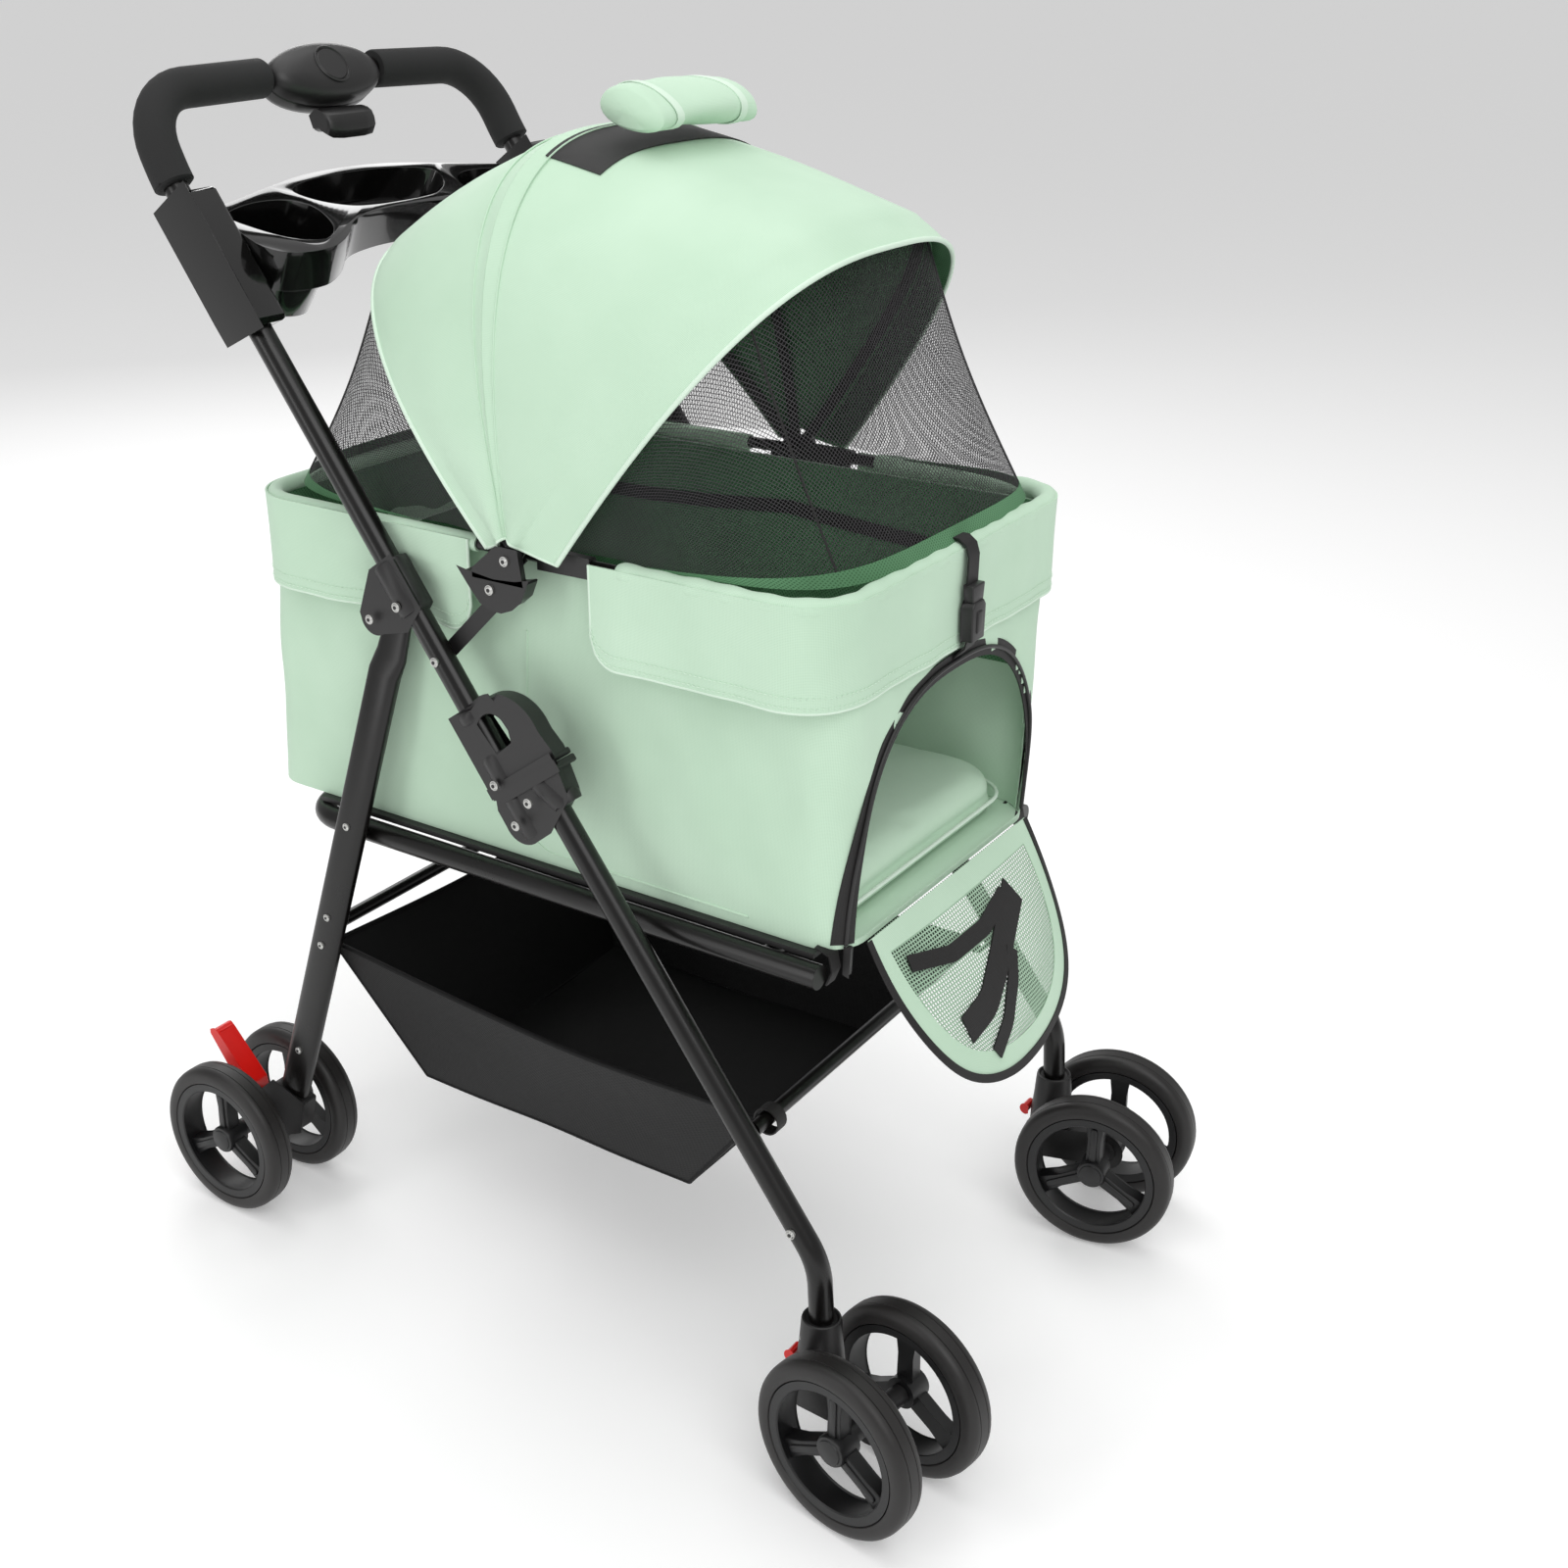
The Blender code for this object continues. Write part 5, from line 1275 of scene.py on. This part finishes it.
# Straps. Webbing with a side-release buckle comes over the rim in the middle of the front and holds
# the doorway's top. Short tabs tie the tub's front foot to the lower tubes.
point, out, along = Vector((0, FRONT_Y, 0)), Vector((0, -1, 0)), Vector((1, 0, 0))
route = [(-0.004, RIM_Z + 0.0105), (0.004, RIM_Z + 0.0105), (0.0100, RIM_Z + 0.0060),
         (0.0125, RIM_Z - 0.002), (0.0122, 0.652), (0.0120, 0.640), (0.0125, 0.632)]
rows = [[point + out * o + along * k + Vector((0, 0, z)) for k in (-0.0080, 0.0080)]
        for o, z in route]
parts = [ribbon("upper", rows, 0.0015, WEBBING)]
stand = Matrix.Translation(point + out * 0.0145) @ Matrix.Rotation(math.radians(-90), 4, "Z")
for label, outline, thick in (
        ("socket", [(-0.0095, 0.604), (0.0095, 0.604), (0.0105, 0.630), (0.0070, 0.6345),
                    (-0.0070, 0.6345), (-0.0105, 0.630)], 0.0048),
        ("clip", [(-0.0078, 0.6335), (0.0078, 0.6335), (0.0098, 0.6470), (-0.0098, 0.6470)],
         0.0036),
        ("button", [(-0.0040, 0.610), (0.0040, 0.610), (0.0040, 0.627), (-0.0040, 0.627)], 0.0060)):
    made = block(label, outline, -thick, thick, NYLON, 0.0012)
    made.data.transform(stand)
    parts.append(made)
rows = [[point + out * o + along * k + Vector((0, 0, z)) for k in (-0.0075, 0.0075)]
        for o, z in ((0.0140, 0.606), (0.0120, 0.598), (0.0060, 0.592), (0.0025, 0.588))]
parts.append(ribbon("lower", rows, 0.0013, WEBBING))
fit(gather("front_buckle", parts), "rim", slot="black_plastic")
for side, way in SIDES.items():
    tie = [[Vector((way * 0.150 + k, y, z)) for k in (-0.006, 0.006)]
           for y, z in ((-0.2380, 0.4080), (-0.2500, 0.4040), (-0.2525, 0.3920), (-0.2480, 0.3800))]
    fit(ribbon(f"frame_tie_{side}", tie, 0.0013, WEBBING), "base", slot="black_plastic")


# Fasteners. Tubular steel rivets, zinc-plated, set through the plastic and the tubes: each shows
# a rolled silver flange round a sunk middle, whose dark is painted shade: a black nylon disk
# stands in for the hollow. The seams' stitches are mint thread.
STEEL = moulded("zinc_plated_steel", "#A8A8A6", "#D8D8D4", 0.30, 0.0012, 0.00003, Metallic=0.9)
THREAD = moulded("mint_thread", "#BAD5BE", "#DDF1DF", 0.70, 0.0006, 0.00004)


def repeat_tree(name, shape):
    """A node group that puts a shape on every point, its +Z along the facing attribute and its
    +X along the running attribute."""
    tree = bpy.data.node_groups.new(name, "GeometryNodeTree")
    for label, kind in (("Geometry", "NodeSocketGeometry"), ("Size", "NodeSocketFloat"),
                        ("Shell", "NodeSocketMaterial"), ("HoleShade", "NodeSocketMaterial")):
        tree.interface.new_socket(name=label, in_out="INPUT", socket_type=kind)
    tree.interface.new_socket(name="Geometry", in_out="OUTPUT", socket_type="NodeSocketGeometry")
    given = tree.nodes.new("NodeGroupInput")
    shaped = shape(tree, given)
    points = add(tree, "GeometryNodeMeshToPoints", {"Mesh": given.outputs["Geometry"]})
    facing, running = (add(tree, "GeometryNodeInputNamedAttribute", {"Name": label},
                           data_type="FLOAT_VECTOR").outputs[0] for label in ("facing", "running"))
    stand = add(tree, "FunctionNodeAlignRotationToVector", {"Vector": facing}, axis="Z")
    turn = add(tree, "FunctionNodeAlignRotationToVector",
               {"Rotation": stand.outputs[0], "Vector": running}, axis="X", pivot_axis="Z")
    spread = add(tree, "GeometryNodeInstanceOnPoints",
                 {"Points": points.outputs[0], "Instance": shaped, "Rotation": turn.outputs[0],
                  "Scale": given.outputs["Size"]})
    real = add(tree, "GeometryNodeRealizeInstances", {"Geometry": spread.outputs[0]})
    end = tree.nodes.new("NodeGroupOutput")
    tree.links.new(real.outputs[0], end.inputs[0])
    return tree


def rivet_shape(tree, given):
    """Size 1 is a head of 1 mm radius."""
    flange = add(tree, "GeometryNodeMeshCylinder", {"Vertices": 18, "Radius": 0.001,
                                                    "Depth": 0.0005})
    crown = add(tree, "GeometryNodeMeshCone", {"Vertices": 18, "Radius Top": 0.00062,
                                               "Radius Bottom": 0.00092, "Depth": 0.0003})
    raised = add(tree, "GeometryNodeTransform", {"Geometry": crown.outputs["Mesh"],
                                                 "Translation": (0, 0, 0.00020)})
    # The black middle is painted shade: a nylon disk in place of the dark inside of the rivet's hollow.
    hole_shade = add(tree, "GeometryNodeMeshCylinder", {"Vertices": 14, "Radius": 0.00040,
                                                  "Depth": 0.0004})
    sunk = add(tree, "GeometryNodeTransform", {"Geometry": hole_shade.outputs["Mesh"],
                                               "Translation": (0, 0, 0.00036)})
    parts = []
    for mesh, finish in ((flange.outputs["Mesh"], "Shell"), (raised.outputs[0], "Shell"),
                         (sunk.outputs[0], "HoleShade")):
        parts.append(add(tree, "GeometryNodeSetMaterial",
                         {"Geometry": mesh, "Material": given.outputs[finish]}))
    joined = tree.nodes.new("GeometryNodeJoinGeometry")
    for part in parts:
        tree.links.new(part.outputs[0], joined.inputs[0])
    return joined.outputs[0]


def stitch_shape(tree, given):
    """Size 1 is a stitch 1 mm long."""
    bead = add(tree, "GeometryNodeMeshUVSphere", {"Segments": 6, "Rings": 4, "Radius": 0.0005})
    flat = add(tree, "GeometryNodeTransform", {"Geometry": bead.outputs["Mesh"],
                                               "Scale": (1.0, 0.30, 0.22)})
    return add(tree, "GeometryNodeSetMaterial", {"Geometry": flat.outputs[0],
                                                 "Material": given.outputs["Shell"]}).outputs[0]


RIVETS, STITCH = repeat_tree("rivets", rivet_shape), repeat_tree("stitches", stitch_shape)


def scatter(name, body, slot, tree, spots, size, shell, hole_shade):
    """One plain mesh of the tree's shape on spots, each a point, a facing and a direction."""
    mesh = bpy.data.meshes.new(name)
    mesh.from_pydata([tuple(spot[0]) for spot in spots], [], [])
    for label, place in (("facing", 1), ("running", 2)):
        layer = mesh.attributes.new(label, "FLOAT_VECTOR", "POINT")
        layer.data.foreach_set("vector", [c for spot in spots for c in spot[place]])
    made = bpy.data.objects.new(name, mesh)
    bpy.context.scene.collection.objects.link(made)
    step = made.modifiers.new("repeat", "NODES")
    step.node_group = tree
    for item in tree.interface.items_tree:
        if item.in_out == "INPUT" and item.name != "Geometry":
            step[item.identifier] = {"Size": size, "Shell": shell, "HoleShade": hole_shade}[item.name]
    view = bpy.context.evaluated_depsgraph_get()
    view.update()
    plain = bpy.data.meshes.new_from_object(made.evaluated_get(view))
    made.modifiers.clear()
    made.data = plain
    plain.name = name
    return fit(made, body, slot=slot)


def both_sides(spots, x):
    """Rivets at y, z on the outer face at x, and the same on the other side."""
    return [((way * x, y, z), (way, 0, 0), (0, 1, 0)) for way in SIDES.values() for y, z in spots]


scatter("rivets_front_legs", "front_legs", "black_plastic", RIVETS,
        both_sides([latch_point(0, 0), latch_point(0.023, 0.010)], 0.2188)
        + both_sides([(-0.268, 0.113), (-0.2547, 0.201)], 0.2104), 3.8, STEEL, NYLON)
scatter("rivets_handle", "handle", "black_plastic", RIVETS,
        both_sides([latch_point(-0.002, 0.034)], 0.2160)
        + both_sides([(0.124, 0.604), (0.096, 0.619)], 0.2150)
        + both_sides([(0.065, 0.580)], 0.2098)
        + both_sides([(-0.003, 0.6697), (0.012, 0.6455)], 0.2050), 3.8, STEEL, NYLON)
leg_run = [tuple(pivot.lerp(foot, t).yz) for t in (0.41, 0.60, 0.66, 0.90)]
scatter("rivets_rear_legs", "rear_legs", "black_plastic", RIVETS,
        both_sides(leg_run, 0.1906), 3.2, STEEL, NYLON)
lines = []
for row in FLAP_STITCHES:
    walk, gap = 0.0, 0.0042
    for before, after in zip(row, row[1:]):
        length = (after - before).length
        while walk < length:
            spot = before.lerp(after, walk / length)
            out = Vector((spot.x / 0.19, 0, 0)) if abs(spot.x) > 0.165 else Vector((0, spot.y, 0))
            lines.append((spot + out.normalized() * 0.0004, out.normalized(),
                          (after - before).normalized()))
            walk += gap
        walk -= length
scatter("rim_flap_stitches", "rim", "mint_fabric", STITCH, lines, 3.0, THREAD, THREAD)


# Hoops and floor. The canopy's three hoops are flat moulded nylon, bent when they are sewn in, and
# the floor is a hard moulded board under the cushion. Both keep their plain shape.
for name in ("canopy_rib_front", "canopy_rib_main", "canopy_rib_rear", "floor_board"):
    finishes = bpy.data.objects[name].data.materials
    for place in range(len(finishes)):
        finishes[place] = NYLON


# Cloth sizes. Each row is a sheet, the width and length of a cut that would hold its panels, and
# its area. The areas are those of the built panels, one side of each, and the widths and lengths
# are chosen to suit, because no pattern of the real pieces is known.
SHEETS = (("canopy_fabric_front", 0.66, 0.27, 0.140, "stretched", ["canopy_rib_front"]),
          ("canopy_fabric_rear", 0.66, 0.20, 0.095, "stretched", ["canopy_rib_rear"]),
          ("canopy_lining_front", 0.65, 0.27, 0.138, "stretched", ["canopy_rib_front"]),
          ("canopy_lining_rear", 0.65, 0.20, 0.094, "stretched", ["canopy_rib_rear"]),
          ("canopy_front_net", 0.66, 0.30, 0.110, "stretched", ["rim_frame"]),
          ("canopy_rear_net", 0.66, 0.30, 0.106, "stretched", ["rim_frame"]),
          ("cabin_fabric", 1.86, 0.62, 0.760, "hung", ["rim_frame"]),
          ("cabin_lining", 1.70, 0.138, 0.227, "hung", ["rim_frame"]),
          ("rim_flap_front", 0.82, 0.078, 0.057, "hung", ["rim_frame"]),
          ("rim_flap_rear", 0.90, 0.078, 0.063, "hung", ["rim_frame"]),
          ("door_net", 0.24, 0.150, 0.029, "hung", ["floor_board"]),
          ("basket_cloth", 0.72, 0.58, 0.248, "hung", ["basket_crossbar"]))
for name, width, length, area, held, on in SHEETS:
    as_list(on)


# Studio. A pale floor that gives a little light of its own, a broad soft key from above on one
# side, and softer lamps above, beside and behind. The air is plain white.
def plane(name, size, place, colour):
    bm = bmesh.new()
    bmesh.ops.create_grid(bm, x_segments=1, y_segments=1, size=size)
    mesh = bpy.data.meshes.new(name)
    bm.to_mesh(mesh)
    bm.free()
    made = bpy.data.objects.new(name, mesh)
    made.location = place
    bpy.context.scene.collection.objects.link(made)
    surface, tree, shader = blank(name, 0.9)
    shader.inputs["Base Color"].default_value = linear(colour)
    shader.inputs["Emission Color"].default_value = linear(colour)
    shader.inputs["Emission Strength"].default_value = 0.22
    mesh.materials.append(surface)
    made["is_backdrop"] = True
    return made


plane("studio_floor", 30, (0, 0, -0.0005), "#F4F4F4")


def lamp(name, place, size, power, aim=(0, 0, 0.5)):
    data = bpy.data.lights.new(name, "AREA")
    data.shape, data.size, data.size_y, data.energy = "RECTANGLE", *size, power
    made = bpy.data.objects.new(name, data)
    made.location = place
    made.rotation_euler = (Vector(aim) - Vector(place)).to_track_quat("-Z", "Y").to_euler()
    bpy.context.scene.collection.objects.link(made)


lamp("key", (-1.6, -2.2, 2.9), (2.4, 2.4), 46)
lamp("overhead", (0.2, 0.2, 3.2), (3.0, 3.0), 40)
lamp("side_strip", (-2.6, 1.0, 1.3), (0.7, 2.4), 14)
lamp("rim_light", (1.8, 2.4, 2.0), (1.6, 1.6), 20)
world = bpy.data.worlds.new("studio_air")
world.use_nodes = True
world.node_tree.nodes["Background"].inputs["Color"].default_value = (1, 1, 1, 1)
world.node_tree.nodes["Background"].inputs["Strength"].default_value = 0.48
bpy.context.scene.world = world
bpy.context.scene.view_settings.view_transform = "Standard"

data = bpy.data.cameras.new("camera")
data.lens, data.sensor_width, data.shift_x, data.shift_y = 45.286, 36, 0.05153, -0.06640
camera = bpy.data.objects.new("camera", data)
camera.location = (-1.2311, -0.8850, 1.0977)
azimuth, elevation, roll = (math.radians(a) for a in (-55.34, 21.10, -0.24))
back = Vector((math.sin(azimuth) * math.cos(elevation), -math.cos(azimuth) * math.cos(elevation),
               math.sin(elevation)))
camera.rotation_mode = "QUATERNION"
camera.rotation_quaternion = ((-back).to_track_quat("-Z", "Y")
                              @ Matrix.Rotation(roll, 3, "Z").to_quaternion())
bpy.context.scene.collection.objects.link(camera)
bpy.context.scene.camera = camera

low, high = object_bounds()
{"cad": [list(cad_low), list(cad_high)], "visual": [list(low), list(high)]}
